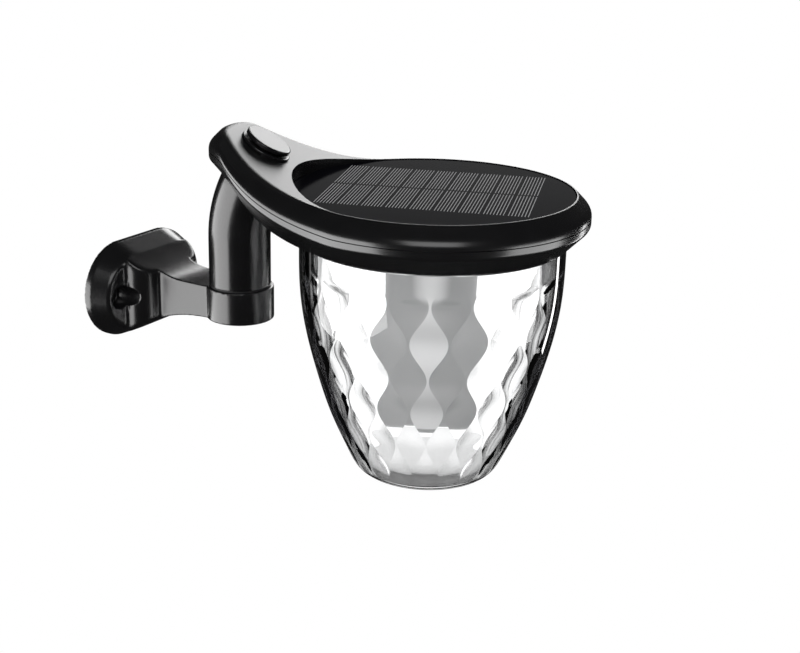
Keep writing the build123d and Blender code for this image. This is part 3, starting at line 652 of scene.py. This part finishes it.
# ---------------------------------------------------------------- studio
@dataclass(frozen=True)
class Softbox:
    """A rectangular light that faces the object from a direction."""

    name: str
    azimuth: float
    elevation: float
    distance: float
    size: tuple[float, float]
    radiance: float
    lights_matt: bool = False
    aim: tuple[float, float, float] = (0.0, -0.09, 0.02)

    def hang(self) -> None:
        """Adds the light to the scene."""
        lamp = bpy.data.lights.new(self.name, "AREA")
        lamp.shape = "RECTANGLE"
        lamp.size, lamp.size_y = self.size
        lamp.energy = self.radiance * pi * self.size[0] * self.size[1]
        holder = bpy.data.objects.new(self.name, lamp)
        bpy.context.scene.collection.objects.link(holder)
        heading, height = radians(self.azimuth), radians(self.elevation)
        away = Vector((cos(height) * cos(heading), cos(height) * sin(heading), sin(height)))
        holder.location = Vector(self.aim) + away * self.distance
        holder.rotation_euler = away.to_track_quat("Z", "Y").to_euler()
        holder.visible_camera = False
        holder.visible_transmission = False
        holder.visible_diffuse = self.lights_matt


@dataclass
class Studio:
    """Camera, background, floor and lights."""

    camera_place: tuple[float, float, float] = (-0.3924, -0.3482, 0.1605)
    camera_heading: float = 30.44
    camera_dip: float = 18.96
    camera_roll: float = 1.45
    lens: float = 63.2
    sensor: float = 36.0
    floor_height: float = -0.45
    floor_size: float = 30.0
    floor_tone: float = 0.9
    fill: float = 0.4
    mirror_fill: float = 0.02
    through: float = 1.25
    backdrop: float = 1.0
    softboxes: tuple[Softbox, ...] = (
        Softbox("front_light", 212.0, 35.0, 1.1, (0.7, 0.6), 2.6, True),
        Softbox("back_box", 18.0, 21.0, 0.9, (0.6, 0.3), 5.4),
        Softbox("left_box", 134.0, -14.0, 0.8, (1.2, 0.7), 5.5),
        Softbox("right_box", 288.0, -18.0, 0.9, (0.75, 0.5), 4.4),
        Softbox("right_strip", 342.0, -18.0, 1.0, (0.08, 0.5), 8.0),
    )

    def build(self) -> None:
        """Sets up the whole studio."""
        self.set_camera()
        self.set_world()
        self.lay_floor()
        for box in self.softboxes:
            box.hang()
        bpy.context.scene.view_settings.view_transform = "Standard"

    def set_camera(self) -> None:
        """Adds the camera at the photograph's view."""
        lens = bpy.data.cameras.new("camera")
        lens.lens = self.lens
        lens.sensor_width = self.sensor
        camera = bpy.data.objects.new("camera", lens)
        bpy.context.scene.collection.objects.link(camera)
        turn = Matrix.Rotation(radians(self.camera_heading - 90.0), 4, "Z")
        tip = Matrix.Rotation(radians(90.0 - self.camera_dip), 4, "X")
        roll = Matrix.Rotation(radians(self.camera_roll), 4, "Z")
        camera.matrix_world = Matrix.Translation(Vector(self.camera_place)) @ turn @ tip @ roll
        bpy.context.scene.camera = camera

    def set_world(self) -> None:
        """White behind the object and through clear pieces, darker in reflections."""
        world = bpy.data.worlds.new("studio")
        world.use_nodes = True
        bpy.context.scene.world = world
        tree, kind = world.node_tree, "ShaderNodeBackground"
        tree.nodes.clear()
        output = tree.nodes.new("ShaderNodeOutputWorld")
        self.answer_rays(tree, kind, self.glow(tree, kind, self.fill), output.inputs[0])

    def lay_floor(self) -> None:
        """Adds a plain pale floor that the camera can't tell from the white behind it."""
        bpy.ops.mesh.primitive_plane_add(size=self.floor_size, location=(0.0, 0.0, self.floor_height))
        floor = named(bpy.context.object, "floor")
        graph = Graph("floor")
        tone = self.floor_tone
        graph.set(Base_Color=(tone, tone, tone, 1.0), Roughness=0.9, Specular_IOR_Level=0.1)
        output = graph.nodes["Material Output"].inputs["Surface"]
        self.answer_rays(graph.material.node_tree, "ShaderNodeEmission", graph.shader.outputs[0], output)
        floor.data.materials.append(graph.material)

    def answer_rays(self, tree: bpy.types.NodeTree, kind: str, shown: bpy.types.NodeSocket,
                    output: bpy.types.NodeSocket) -> None:
        """Shows each kind of ray its own even brightness.

        Args:
            tree: The nodes of a world or a material.
            kind: Type name of the node that glows.
            shown: What all other rays see.
            output: Where the result goes.
        """
        path = tree.nodes.new("ShaderNodeLightPath")
        for seen, strength in ((Seen.GLOSSY, self.mirror_fill), (Seen.TRANSMISSION, self.through),
                               (Seen.CAMERA, self.backdrop)):
            mix = tree.nodes.new("ShaderNodeMixShader")
            tree.links.new(path.outputs[seen.value], mix.inputs[0])
            tree.links.new(shown, mix.inputs[1])
            tree.links.new(self.glow(tree, kind, strength), mix.inputs[2])
            shown = mix.outputs[0]
        tree.links.new(shown, output)

    @staticmethod
    def glow(tree: bpy.types.NodeTree, kind: str, strength: float) -> bpy.types.NodeSocket:
        """Adds a white glow.

        Args:
            tree: The nodes of a world or a material.
            kind: Type name of the node that glows.
            strength: How bright it is.

        Returns:
            The glow.
        """
        node = tree.nodes.new(kind)
        node.inputs["Color"].default_value = (1.0, 1.0, 1.0, 1.0)
        node.inputs["Strength"].default_value = strength
        return node.outputs[0]


# ---------------------------------------------------------------- bracket and post
@dataclass
class WallBracket:
    """The moulded wall bracket, its edges softened and its arm blended into the flange."""

    fitter: Fitter
    voxel: float = 0.35 * MM
    ease: float = 0.5
    softening: int = 3
    blending: int = 70
    hollow: tuple[float, float] = (-30.0 * MM, -8.5 * MM)
    arm_side: float = 9.5 * MM
    level: float = 0.5
    recess: float = 20.0 * MM
    recess_room: float = 5.6 * MM

    def build(self) -> None:
        """Builds the bracket with its moulded roundings."""
        bracket = cast("wall_bracket", "bracket_moulding")
        self.soften(bracket)
        self.fitter.fit(bracket, Body.BRACKET, "bracket_plastic", "wall_bracket")

    def soften(self, bracket: bpy.types.Object) -> None:
        """Rounds every edge a little, as a mould does, and the hollows beside the arm a lot.

        Args:
            bracket: The cast bracket.
        """
        modify(bracket, "REMESH", mode="VOXEL", voxel_size=self.voxel, adaptivity=0.0)
        hollows = bracket.vertex_groups.new(name="hollows")
        chosen = [vertex.index for vertex in bracket.data.vertices if self.is_hollow(vertex)]
        hollows.add(chosen, 1.0, "REPLACE")
        for group, steps in (("", self.softening), (hollows.name, self.blending)):
            modify(bracket, "SMOOTH", factor=self.ease, iterations=steps, vertex_group=group)
        bpy.ops.object.shade_smooth()

    def is_hollow(self, vertex: bpy.types.MeshVertex) -> bool:
        """Says whether a point lies where the arm's sides flow into the flange.

        Args:
            vertex: A point of the bracket.

        Returns:
            True in the hollows, away from the recesses of the screws.
        """
        near, far = self.hollow
        beside = hypot(abs(vertex.co.x) - self.recess, vertex.co.z) > self.recess_room
        outside = abs(vertex.co.x) > self.arm_side or abs(vertex.normal.z) < self.level
        return near < vertex.co.y < far and outside and beside


@dataclass
class Post:
    """The bent tube between the bracket and the lid."""

    fitter: Fitter
    edge: float = 0.35 * MM
    sharp: float = 40.0

    def build(self) -> None:
        """Builds the post with a softened foot."""
        post = cast("post_tube", "post")
        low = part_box("friction_washer")[1].z
        round_edges(post, self.edge, lambda edge: edge_turn(edge) > radians(self.sharp)
                    and abs(edge_middle(edge).z - low) < self.edge)
        even_shading(post)
        self.fitter.fit(post, Body.HEAD, "post_plastic", "post_tube")


# ---------------------------------------------------------------- lid
@dataclass
class LidShells:
    """The two moulded shells of the lid, lofted along the lid's outline.

    A place on a shell is told by its inset from the outline and its drop below the ramped top.
    """

    fitter: Fitter
    place: Matrix
    count: int = 360
    steps: int = 22
    disc_points: int = 400
    stretch_points: int = 120
    ramp_end: float = 90.0 * MM
    ramp_points: int = 901
    crease: float = 28.0
    radius: float = 54.79 * MM
    tip: float = 80.39 * MM
    leaves_at: float = 31.0
    neck_shares: tuple[tuple[float, float], ...] = ((0.877, 0.223), (0.737, 0.507), (0.439, 0.829))
    ramp_start: float = 23.0 * MM
    ramp_radius: float = 74.0 * MM
    crest_radius: float = 9.0 * MM
    steepest: float = 38.0
    bevel: float = 5.0 * MM
    taper: tuple[float, float] = (7.2 * MM, 7.3 * MM)
    parting: float = 7.5 * MM
    groove: tuple[float, float] = (0.35 * MM, 0.6 * MM)
    wall: float = 2.2 * MM
    pocket: tuple[float, float] = (49.4 * MM, -3.2 * MM)
    cavity: tuple[float, float] = (41.9 * MM, 5.2 * MM)
    hollow: float = 8.6 * MM
    tube_hole: float = 16.6 * MM
    land_rounding: tuple[float, float] = (0.3 * MM, 1.7 * MM)
    land_start: float = 38.0 * MM
    land_run: float = 16.0 * MM
    bevel_rounding: float = 2.4 * MM
    taper_rounding: float = 1.0 * MM
    most_of_side: float = 0.9
    outline: np.ndarray = field(init=False)
    inward: np.ndarray = field(init=False)
    stretch: np.ndarray = field(init=False)

    def build(self) -> None:
        """Builds both shells."""
        self.outline = self.draw_outline()
        run = np.roll(self.outline, -1, axis=0) - np.roll(self.outline, 1, axis=0)
        run /= np.linalg.norm(run, axis=1)[:, None]
        self.inward = np.column_stack([-run[:, 1], run[:, 0]])
        self.stretch = np.hypot(1.0, self.slope(self.outline[:, 1]) * run[:, 1])
        for name, rings, node in (("lid_top", self.top_rings(), "upper_shell"),
                                  ("lid_base", self.base_rings(), "lower_shell")):
            shell = loft(name, rings)
            even_shading(shell, self.crease)
            carry(shell, self.place)
            self.fitter.fit(shell, Body.HEAD, "lid_plastic", node)

    def draw_outline(self) -> np.ndarray:
        """Draws the lid's plan, a disc that runs into a rounded neck.

        Returns:
            Evenly spaced points.
        """
        leaves = radians(self.leaves_at)
        root = self.radius * np.array([cos(leaves), sin(leaves)])
        run = self.tip - root[1]
        neck = [np.array([root[0] * across, root[1] + run * along]) for across, along in self.neck_shares]
        knots = np.array([root, *neck, np.array([0.0, self.tip])])
        side = self.spline(knots, np.array([-sin(leaves), cos(leaves)]), np.array([-1.0, 0.0]))
        angles = np.linspace(-pi / 2, leaves, self.disc_points)[:-1]
        half = np.concatenate([self.radius * np.column_stack([np.cos(angles), np.sin(angles)]), side])
        other = half[::-1][1:-1] * np.array([-1.0, 1.0])
        curve = np.concatenate([half, other, half[:1]])
        gone = np.concatenate([[0.0], np.cumsum(np.linalg.norm(np.diff(curve, axis=0), axis=1))])
        even = np.linspace(0.0, gone[-1], self.count, endpoint=False)
        return np.column_stack([np.interp(even, gone, curve[:, axis]) for axis in (0, 1)])

    def spline(self, knots: np.ndarray, start: np.ndarray, end: np.ndarray) -> np.ndarray:
        """Draws a smooth curve through points.

        Args:
            knots: The points.
            start: Direction of length one at the first point.
            end: Direction of length one at the last point.

        Returns:
            Points close together along the curve.
        """
        step = np.linalg.norm(np.diff(knots, axis=0), axis=1)
        last = len(knots) - 1
        system, goal = np.eye(len(knots)), np.zeros_like(knots)
        goal[0], goal[last] = start, end
        for at in range(1, last):
            before, after = step[at - 1], step[at]
            system[at, at - 1:at + 2] = after, 2 * (before + after), before
            came, goes = knots[at] - knots[at - 1], knots[at + 1] - knots[at]
            goal[at] = 3 * (after / before * came + before / after * goes)
        pull = np.linalg.solve(system, goal)
        curve = []
        for at in range(last):
            for share in np.linspace(0.0, 1.0, self.stretch_points, endpoint=at == last - 1):
                rest = 1 - share
                near = (1 + 2 * share) * rest**2 * knots[at] + share**2 * (3 - 2 * share) * knots[at + 1]
                swing = share * rest**2 * pull[at] - share**2 * rest * pull[at + 1]
                curve.append(near + step[at] * swing)
        return np.array(curve)

    def slope(self, along: np.ndarray) -> np.ndarray:
        """Finds the slope of the ramped top, which curves up and levels out at the crest.

        Args:
            along: Places towards the tip.

        Returns:
            The rise for each length.
        """
        most = sin(radians(self.steepest))
        steep = self.ramp_start + self.ramp_radius * most
        hollow = np.clip((along - self.ramp_start) / self.ramp_radius, 0.0, most)
        crest = np.clip(most - (along - steep) / self.crest_radius, 0.0, 1.0)
        sine = np.minimum(hollow, crest)
        return sine / np.sqrt(1.0 - sine**2)

    def ramp(self, along: np.ndarray) -> np.ndarray:
        """Finds the height of the ramped top.

        Args:
            along: Places towards the tip.

        Returns:
            Heights over the panel's rim.
        """
        grid = np.linspace(0.0, self.ramp_end, self.ramp_points)
        rise = np.cumsum(self.slope((grid[1:] + grid[:-1]) / 2) * np.diff(grid))
        return np.interp(along, grid, np.concatenate([[0.0], rise]))

    def at(self, inset: float | np.ndarray, drop: float | np.ndarray) -> np.ndarray:
        """Ring at an inset and a drop, each one number or one for each point of the outline."""
        plan = self.outline + self.inward * np.broadcast_to(inset, self.count)[:, None]
        return np.column_stack([plan, self.ramp(plan[:, 1]) - drop])

    def round_ring(self, radius: float, height: float | None = None, drop: float = 0.0) -> np.ndarray:
        """Draws a round ring whose points face those of the outline.

        Args:
            radius: Radius of the ring.
            height: Its level, or none where it follows the ramped top.
            drop: How far it then lies below the ramped top.

        Returns:
            The ring.
        """
        angles = np.arctan2(self.outline[:, 1], self.outline[:, 0])
        plan = radius * np.column_stack([np.cos(angles), np.sin(angles)])
        tall = np.full(self.count, height) if height is not None else self.ramp(plan[:, 1]) - drop
        return np.column_stack([plan, tall])

    def across(self, inner: np.ndarray, outer: np.ndarray, drop: float) -> list[np.ndarray]:
        """Fills the room between two rings.

        Args:
            inner: The ring to start from.
            outer: The ring to end at.
            drop: How far the rings between lie below the ramped top.

        Returns:
            The rings between.
        """
        rings = []
        for share in np.linspace(0.0, 1.0, self.steps + 1)[1:-1]:
            ring = inner + (outer - inner) * share
            ring[:, 2] = self.ramp(ring[:, 1]) - drop
            rings.append(ring)
        return rings

    def corner(self, before: tuple, here: tuple, after: tuple, reach: float | np.ndarray,
               steps: int = 5) -> list[np.ndarray]:
        """Rounds a corner of the profile.

        Args:
            before: Inset and drop of the profile's point before the corner.
            here: Inset and drop of the corner.
            after: Inset and drop of the point after it.
            reach: How far the rounding runs from the corner each way.
            steps: Faces round the corner.

        Returns:
            The rings, from the side before to the side after.
        """
        place = [np.column_stack([np.broadcast_to(part, self.count) for part in point])
                 for point in (before, here, after)]
        ends = []
        for other in (place[0], place[2]):
            away = other - place[1]
            far = np.linalg.norm(away, axis=1)
            ends.append(place[1] + away * (np.minimum(reach, self.most_of_side * far) / far)[:, None])
        rings = []
        for share in np.linspace(0.0, 1.0, steps + 1):
            mixed = (1 - share)**2 * ends[0] + 2 * share * (1 - share) * place[1] + share**2 * ends[1]
            rings.append(self.at(mixed[:, 0], mixed[:, 1]))
        return rings

    def top_rings(self) -> list[np.ndarray]:
        """Draws the upper shell, from the middle of the panel's pocket out, down and back in.

        Returns:
            Its rings.
        """
        radius, floor = self.pocket
        foot = self.bevel * self.stretch
        near, far = self.land_rounding
        on_neck = np.clip((self.outline[:, 1] - self.land_start) / self.land_run, 0.0, 1.0)
        reach = near + (far - near) * on_neck
        head = self.corner((2 * self.bevel, 0.0), (self.bevel, 0.0), (0.0, foot), reach)
        rim = self.round_ring(radius)
        gap, depth = self.groove
        lip = self.parting - gap
        rings = [self.round_ring(0.0, floor), self.round_ring(radius, floor), rim]
        rings += self.across(rim, head[0], 0.0) + head
        rings += self.corner((self.bevel, 0.0), (0.0, foot), (0.0, lip), self.bevel_rounding)
        rings += [self.at(0.0, lip), self.at(depth, lip)]
        rings += [self.at(depth, self.parting), self.at(self.wall, self.parting)]
        rings += [self.at(self.hollow, self.cavity[1]), self.round_ring(self.cavity[0], -self.cavity[1])]
        return rings + [self.round_ring(0.0, -self.cavity[1])]

    def base_rings(self) -> list[np.ndarray]:
        """Draws the lower shell, once round its wall and floor from the parting line.

        Returns:
            Its rings.
        """
        inset, drop = self.taper
        thick = Lid.THICK
        foot = thick - drop * self.stretch
        shoulder = self.corner((0.0, self.parting), (0.0, foot), (inset, thick), self.taper_rounding)
        under = self.corner((0.0, foot), (inset, thick), (2 * inset, thick), self.groove[1])
        mouth = self.round_ring(self.cavity[0], drop=thick)
        floor = self.wall - thick
        rings = [self.at(self.wall, self.parting), self.at(0.0, self.parting)]
        rings += shoulder + under + self.across(mouth, under[-1], thick)[::-1]
        rings += [self.round_ring(self.tube_hole, -thick), self.round_ring(self.tube_hole, floor)]
        rings += [self.round_ring(self.cavity[0], floor), self.at(self.hollow, -floor)]
        return rings + [rings[0]]


@dataclass
class SolarPanel:
    """The round laminate, its cells and their fine conductor lines."""

    fitter: Fitter
    place: Matrix
    radius: float = 49.2 * MM
    thick: float = 2.4 * MM
    sides: int = 192
    edge: float = 0.3 * MM
    sharp: float = 60.0
    crease: float = 40.0
    cells: int = 9
    fingers: int = 7
    field_size: tuple[float, float] = (58.6 * MM, 73.2 * MM)
    row_gap: float = 1.5 * MM
    finger_pitch: float = 1.08 * MM
    finger_width: float = 0.24 * MM
    finger_thick: float = 0.03 * MM

    def build(self) -> None:
        """Builds the laminate and the lines."""
        middle = -Lid.PANEL_SUNK - self.thick / 2
        bpy.ops.mesh.primitive_cylinder_add(vertices=self.sides, radius=self.radius, depth=self.thick,
                                            end_fill_type="NGON", location=(0.0, 0.0, middle))
        panel = named(bpy.context.object, "solar_laminate")
        carry(panel, Matrix.Identity(4))
        round_edges(panel, self.edge, lambda edge: edge_turn(edge) > radians(self.sharp)
                    and edge_middle(edge).z > -Lid.PANEL_SUNK - self.edge)
        even_shading(panel, self.crease)
        carry(panel, self.place)
        self.fitter.fit(panel, Body.HEAD, "solar_laminate", "solar_panel")
        self.fitter.fit(self.lines(), Body.HEAD, "solar_laminate", finish="cell_silver")

    def lines(self) -> bpy.types.Object:
        """Draws the conductor lines of both rows of cells.

        Returns:
            All lines as one piece.
        """
        width, length = self.field_size
        line = (width - self.row_gap) / 2
        cell = length / self.cells
        margin = (cell - self.finger_pitch * (self.fingers - 1)) / 2
        start = (line / 2 - width / 2, margin - length / 2, self.finger_thick / 2 - Lid.PANEL_SUNK)
        bpy.ops.object.select_all(action="DESELECT")
        bpy.ops.mesh.primitive_cube_add(size=1.0, location=start,
                                        scale=(line, self.finger_width, self.finger_thick))
        lines = named(bpy.context.object, "cell_lines")
        carry(lines, Matrix.Identity(4))
        for count, step in ((self.fingers, (0.0, self.finger_pitch, 0.0)), (self.cells, (0.0, cell, 0.0)),
                            (2, (line + self.row_gap, 0.0, 0.0))):
            modify(lines, "ARRAY", count=count, use_relative_offset=False, use_constant_offset=True,
                   constant_offset_displace=step)
        return carry(lines, self.place)


@dataclass
class PushButton:
    """The button and its bezel, set a little lower and nearer the tip, as the photograph shows."""

    fitter: Fitter
    place: Matrix
    along: float = 60.0 * MM
    up: float = 9.91 * MM
    tilt: float = 30.0
    tipward: float = 1.06 * MM
    slimmer: float = 0.95
    crease: float = 40.0
    bezel_heights: tuple[tuple[float, float], ...] = ((-20.0, -20.0), (0.0, 0.0), (2.4, 1.45))
    cap_heights: tuple[tuple[float, float], ...] = ((3.5, 2.35), (6.1, 3.8))

    def build(self) -> None:
        """Builds both pieces."""
        for node, name, body, above in (("button_bezel", "bezel", Body.HEAD, ()),
                                        ("power_button", "button_cap", Body.BUTTON, self.cap_heights)):
            piece = cast(node, name)
            self.settle(piece, self.bezel_heights + above)
            even_shading(piece, self.crease)
            self.fitter.fit(piece, body, "button_plastic", node)

    def settle(self, piece: bpy.types.Object, heights: tuple[tuple[float, float], ...]) -> None:
        """Moves a piece to the button's visible place.

        Args:
            piece: The mesh object.
            heights: Heights over the neck in millimetres, each before and after.
        """
        stand = self.place @ Matrix.Translation((0.0, self.along, self.up))
        stand = stand @ Matrix.Rotation(radians(self.tilt), 4, "X")
        back = stand.inverted()
        before, after = zip(*heights)
        for vertex in piece.data.vertices:
            local = back @ vertex.co
            height = float(np.interp(local.z / MM, before, after)) * MM
            across, along = local.x * self.slimmer, local.y * self.slimmer + self.tipward
            vertex.co = stand @ Vector((across, along, height))
        piece.data.update()


# ---------------------------------------------------------------- lamp and shade
@dataclass
class LightTube:
    """The frosted tube inside the shade."""

    fitter: Fitter

    def build(self) -> None:
        """Builds the tube smooth."""
        tube = cast("lamp_tube", "light_tube")
        even_shading(tube)
        self.fitter.fit(tube, Body.HEAD, "tube_frosted", "lamp_tube")


@dataclass
class Shade:
    """The clear shade: smooth outside, cut inside into columns that swell and pinch."""

    fitter: Fitter
    place: Matrix
    columns: int = 40
    across: int = 6
    outside_rings: int = 90
    inside_step: float = 0.9 * MM
    sharp: float = 50.0
    facet_top: float = -29.0 * MM
    facet_floor: float = -101.2 * MM
    mouth: float = 4.0 * MM
    pitch: float = 13.37 * MM
    wall: float = 3.4 * MM
    pinch: float = 0.88
    bulge: float = 1.9
    spigot: tuple[float, float, float] = (45.8 * MM, 44.1 * MM, -13.9 * MM)
    clear_of_spigot: float = 0.5 * MM
    fade: float = 3.0 * MM
    digits: int = 6
    slack: float = 1e-6

    @property
    def around(self) -> int:
        """Points in each ring."""
        return self.columns * self.across

    def build(self) -> None:
        """Builds the shade as one closed skin."""
        profile = self.outer_profile()
        outside = self.outside(profile)
        shade = self.skin(outside + self.inside(profile))
        self.crease(shade, len(outside) - 1)
        carry(shade, self.place)
        self.fitter.fit(shade, Body.HEAD, "shade_clear", "shade")

    def outer_profile(self) -> np.ndarray:
        """Reads the convex outer side off the measured shade.

        Returns:
            Rows of (height, radius) from the bottom up.
        """
        back = self.place.inverted()
        points = set()
        for vertex in frame["nodes"]["shade"].data.vertices:
            local = back @ vertex.co
            points.add((round(hypot(local.x, local.y), self.digits), round(local.z, self.digits)))
        top = max(height for radius, height in points if radius > self.spigot[0] + self.clear_of_spigot)
        chain: list[tuple[float, float]] = []
        for radius, height in sorted(points, key=lambda point: (point[1], -point[0])):
            if height > top + self.slack:
                break
            while len(chain) > 1 and self.lies_inside(chain[-2], chain[-1], (radius, height)):
                chain.pop()
            chain.append((radius, height))
        return np.array([(height, radius) for radius, height in chain])

    @staticmethod
    def lies_inside(first: tuple[float, float], middle: tuple[float, float],
                    last: tuple[float, float]) -> bool:
        """Says whether a middle point lies inside the line from the first to the last."""
        return ((middle[0] - first[0]) * (last[1] - first[1])
                - (middle[1] - first[1]) * (last[0] - first[0])) <= 0.0

    def outside(self, profile: np.ndarray) -> list[np.ndarray]:
        """Draws the outside and the spigot, from the middle of the base up.

        Args:
            profile: Rows of (height, radius) from the bottom up.

        Returns:
            Its rings, the first with no width.
        """
        rings = [self.circle(0.0, profile[0, 0])]
        run = np.concatenate([[0.0], np.cumsum(np.hypot(*np.diff(profile, axis=0).T))])
        for share in np.linspace(0.0, 1.0, self.outside_rings):
            height, radius = (np.interp(share * run[-1], run, column) for column in profile.T)
            rings.append(self.circle(radius, height))
        outer, inner, top = self.spigot
        rings += [self.circle(outer, profile[-1, 0]), self.circle(outer, top), self.circle(inner, top)]
        return rings + [self.circle(inner, profile[-1, 0])]

    def inside(self, profile: np.ndarray) -> list[np.ndarray]:
        """Draws the cut inside, from the mouth down to the middle of the floor.

        Args:
            profile: Rows of (height, radius) of the outside, from the bottom up.

        Returns:
            Its rings, the last with no width.
        """
        heights = np.arange(self.facet_top + self.mouth, self.facet_floor, -self.inside_step)
        rings = [self.cut_ring(profile, height) for height in (*heights, self.facet_floor)]
        return rings + [self.circle(0.0, self.facet_floor)]

    def cut_ring(self, profile: np.ndarray, height: float) -> np.ndarray:
        """Draws one ring of the inside, with its columns swollen and pinched by height.

        Args:
            profile: Rows of (height, radius) of the outside, from the bottom up.
            height: Height of the ring.

        Returns:
            The ring.
        """
        radius = np.interp(height, profile[:, 0], profile[:, 1]) - self.wall
        wave = cos(pi * (self.facet_top - height) / self.pitch)
        step = 2 * pi / self.columns
        above = np.clip((self.facet_top + self.fade - height) / self.fade, 0.0, 1.0)
        below = np.clip((height - self.facet_floor) / self.fade, 0.0, 1.0)
        depth = self.bulge * above * below
        points = []
        for column in range(self.columns):
            sign = 1.0 if column % 2 == 0 else -1.0
            width = step * (1.0 + sign * self.pinch * wave)
            sagitta = radius * (1.0 - cos(width / 2)) * depth
            for part in range(self.across):
                share = 2.0 * part / self.across - 1.0
                angle = column * step + share * width / 2
                reach = radius - sagitta * (1.0 - share**2)
                points.append((reach * cos(angle), reach * sin(angle), height))
        return np.array(points)

    def circle(self, radius: float, height: float) -> np.ndarray:
        """Draws a plain ring with as many points as a cut one.

        Args:
            radius: Radius of the ring.
            height: Its height.

        Returns:
            The ring.
        """
        count = self.around
        angles = -pi / self.columns + np.arange(count) * 2 * pi / count
        return np.column_stack([radius * np.cos(angles), radius * np.sin(angles), np.full(count, height)])

    def skin(self, rings: list[np.ndarray]) -> bpy.types.Object:
        """Joins the rings into one closed mesh.

        Args:
            rings: Rings of points, the first and the last with no width.

        Returns:
            The shade's object.
        """
        count = self.around
        middle = rings[1:-1]
        points = [tuple(rings[0][0])]
        points += [tuple(point) for ring in middle for point in ring]
        points.append(tuple(rings[-1][0]))
        last = len(points) - 1
        faces = []
        for row in range(len(middle) - 1):
            low, high = 1 + row * count, 1 + (row + 1) * count
            for at in range(count):
                after = (at + 1) % count
                faces.append((low + at, low + after, high + after, high + at))
        for at in range(count):
            after = (at + 1) % count
            faces.append((0, 1 + after, 1 + at))
            faces.append((last, last - count + at, last - count + after))
        mesh = bpy.data.meshes.new("clear_shade")
        mesh.from_pydata(points, [], faces)
        piece = placed("clear_shade", mesh)
        with editing(piece):
            bpy.ops.mesh.select_all(action="SELECT")
            bpy.ops.mesh.normals_make_consistent(inside=False)
        return piece

    def crease(self, shade: bpy.types.Object, first_cut: int) -> None:
        """Shades the skin smooth, with creases along the column edges and the spigot.

        Args:
            shade: The shade's object.
            first_cut: How many rings with a width come before the first cut one.
        """
        count = self.around
        rows = (len(shade.data.vertices) - 2) // count
        for edge in shade.data.edges:
            low, high = sorted(edge.vertices)
            row_low, row_high = (low - 1) // count, (high - 1) // count
            along = row_high == row_low + 1 and (low - 1) % count == (high - 1) % count
            cut = first_cut <= row_low and row_high < rows
            edge.use_edge_sharp = along and cut and (low - 1) % self.across == 0
        smooth(shade, self.sharp)


# ---------------------------------------------------------------- assembly
def main() -> None:
    """Builds the light and its studio."""
    logging.basicConfig(level=logging.INFO, format="%(message)s")
    place = head_place()
    fitter = Fitter(finishes())
    Studio().build()
    fitter.dress_measured()
    WallBracket(fitter).build()
    Post(fitter).build()
    LidShells(fitter, place).build()
    SolarPanel(fitter, place).build()
    PushButton(fitter, place).build()
    LightTube(fitter).build()
    Shade(fitter, place).build()


if __name__ == "__main__":
    main()
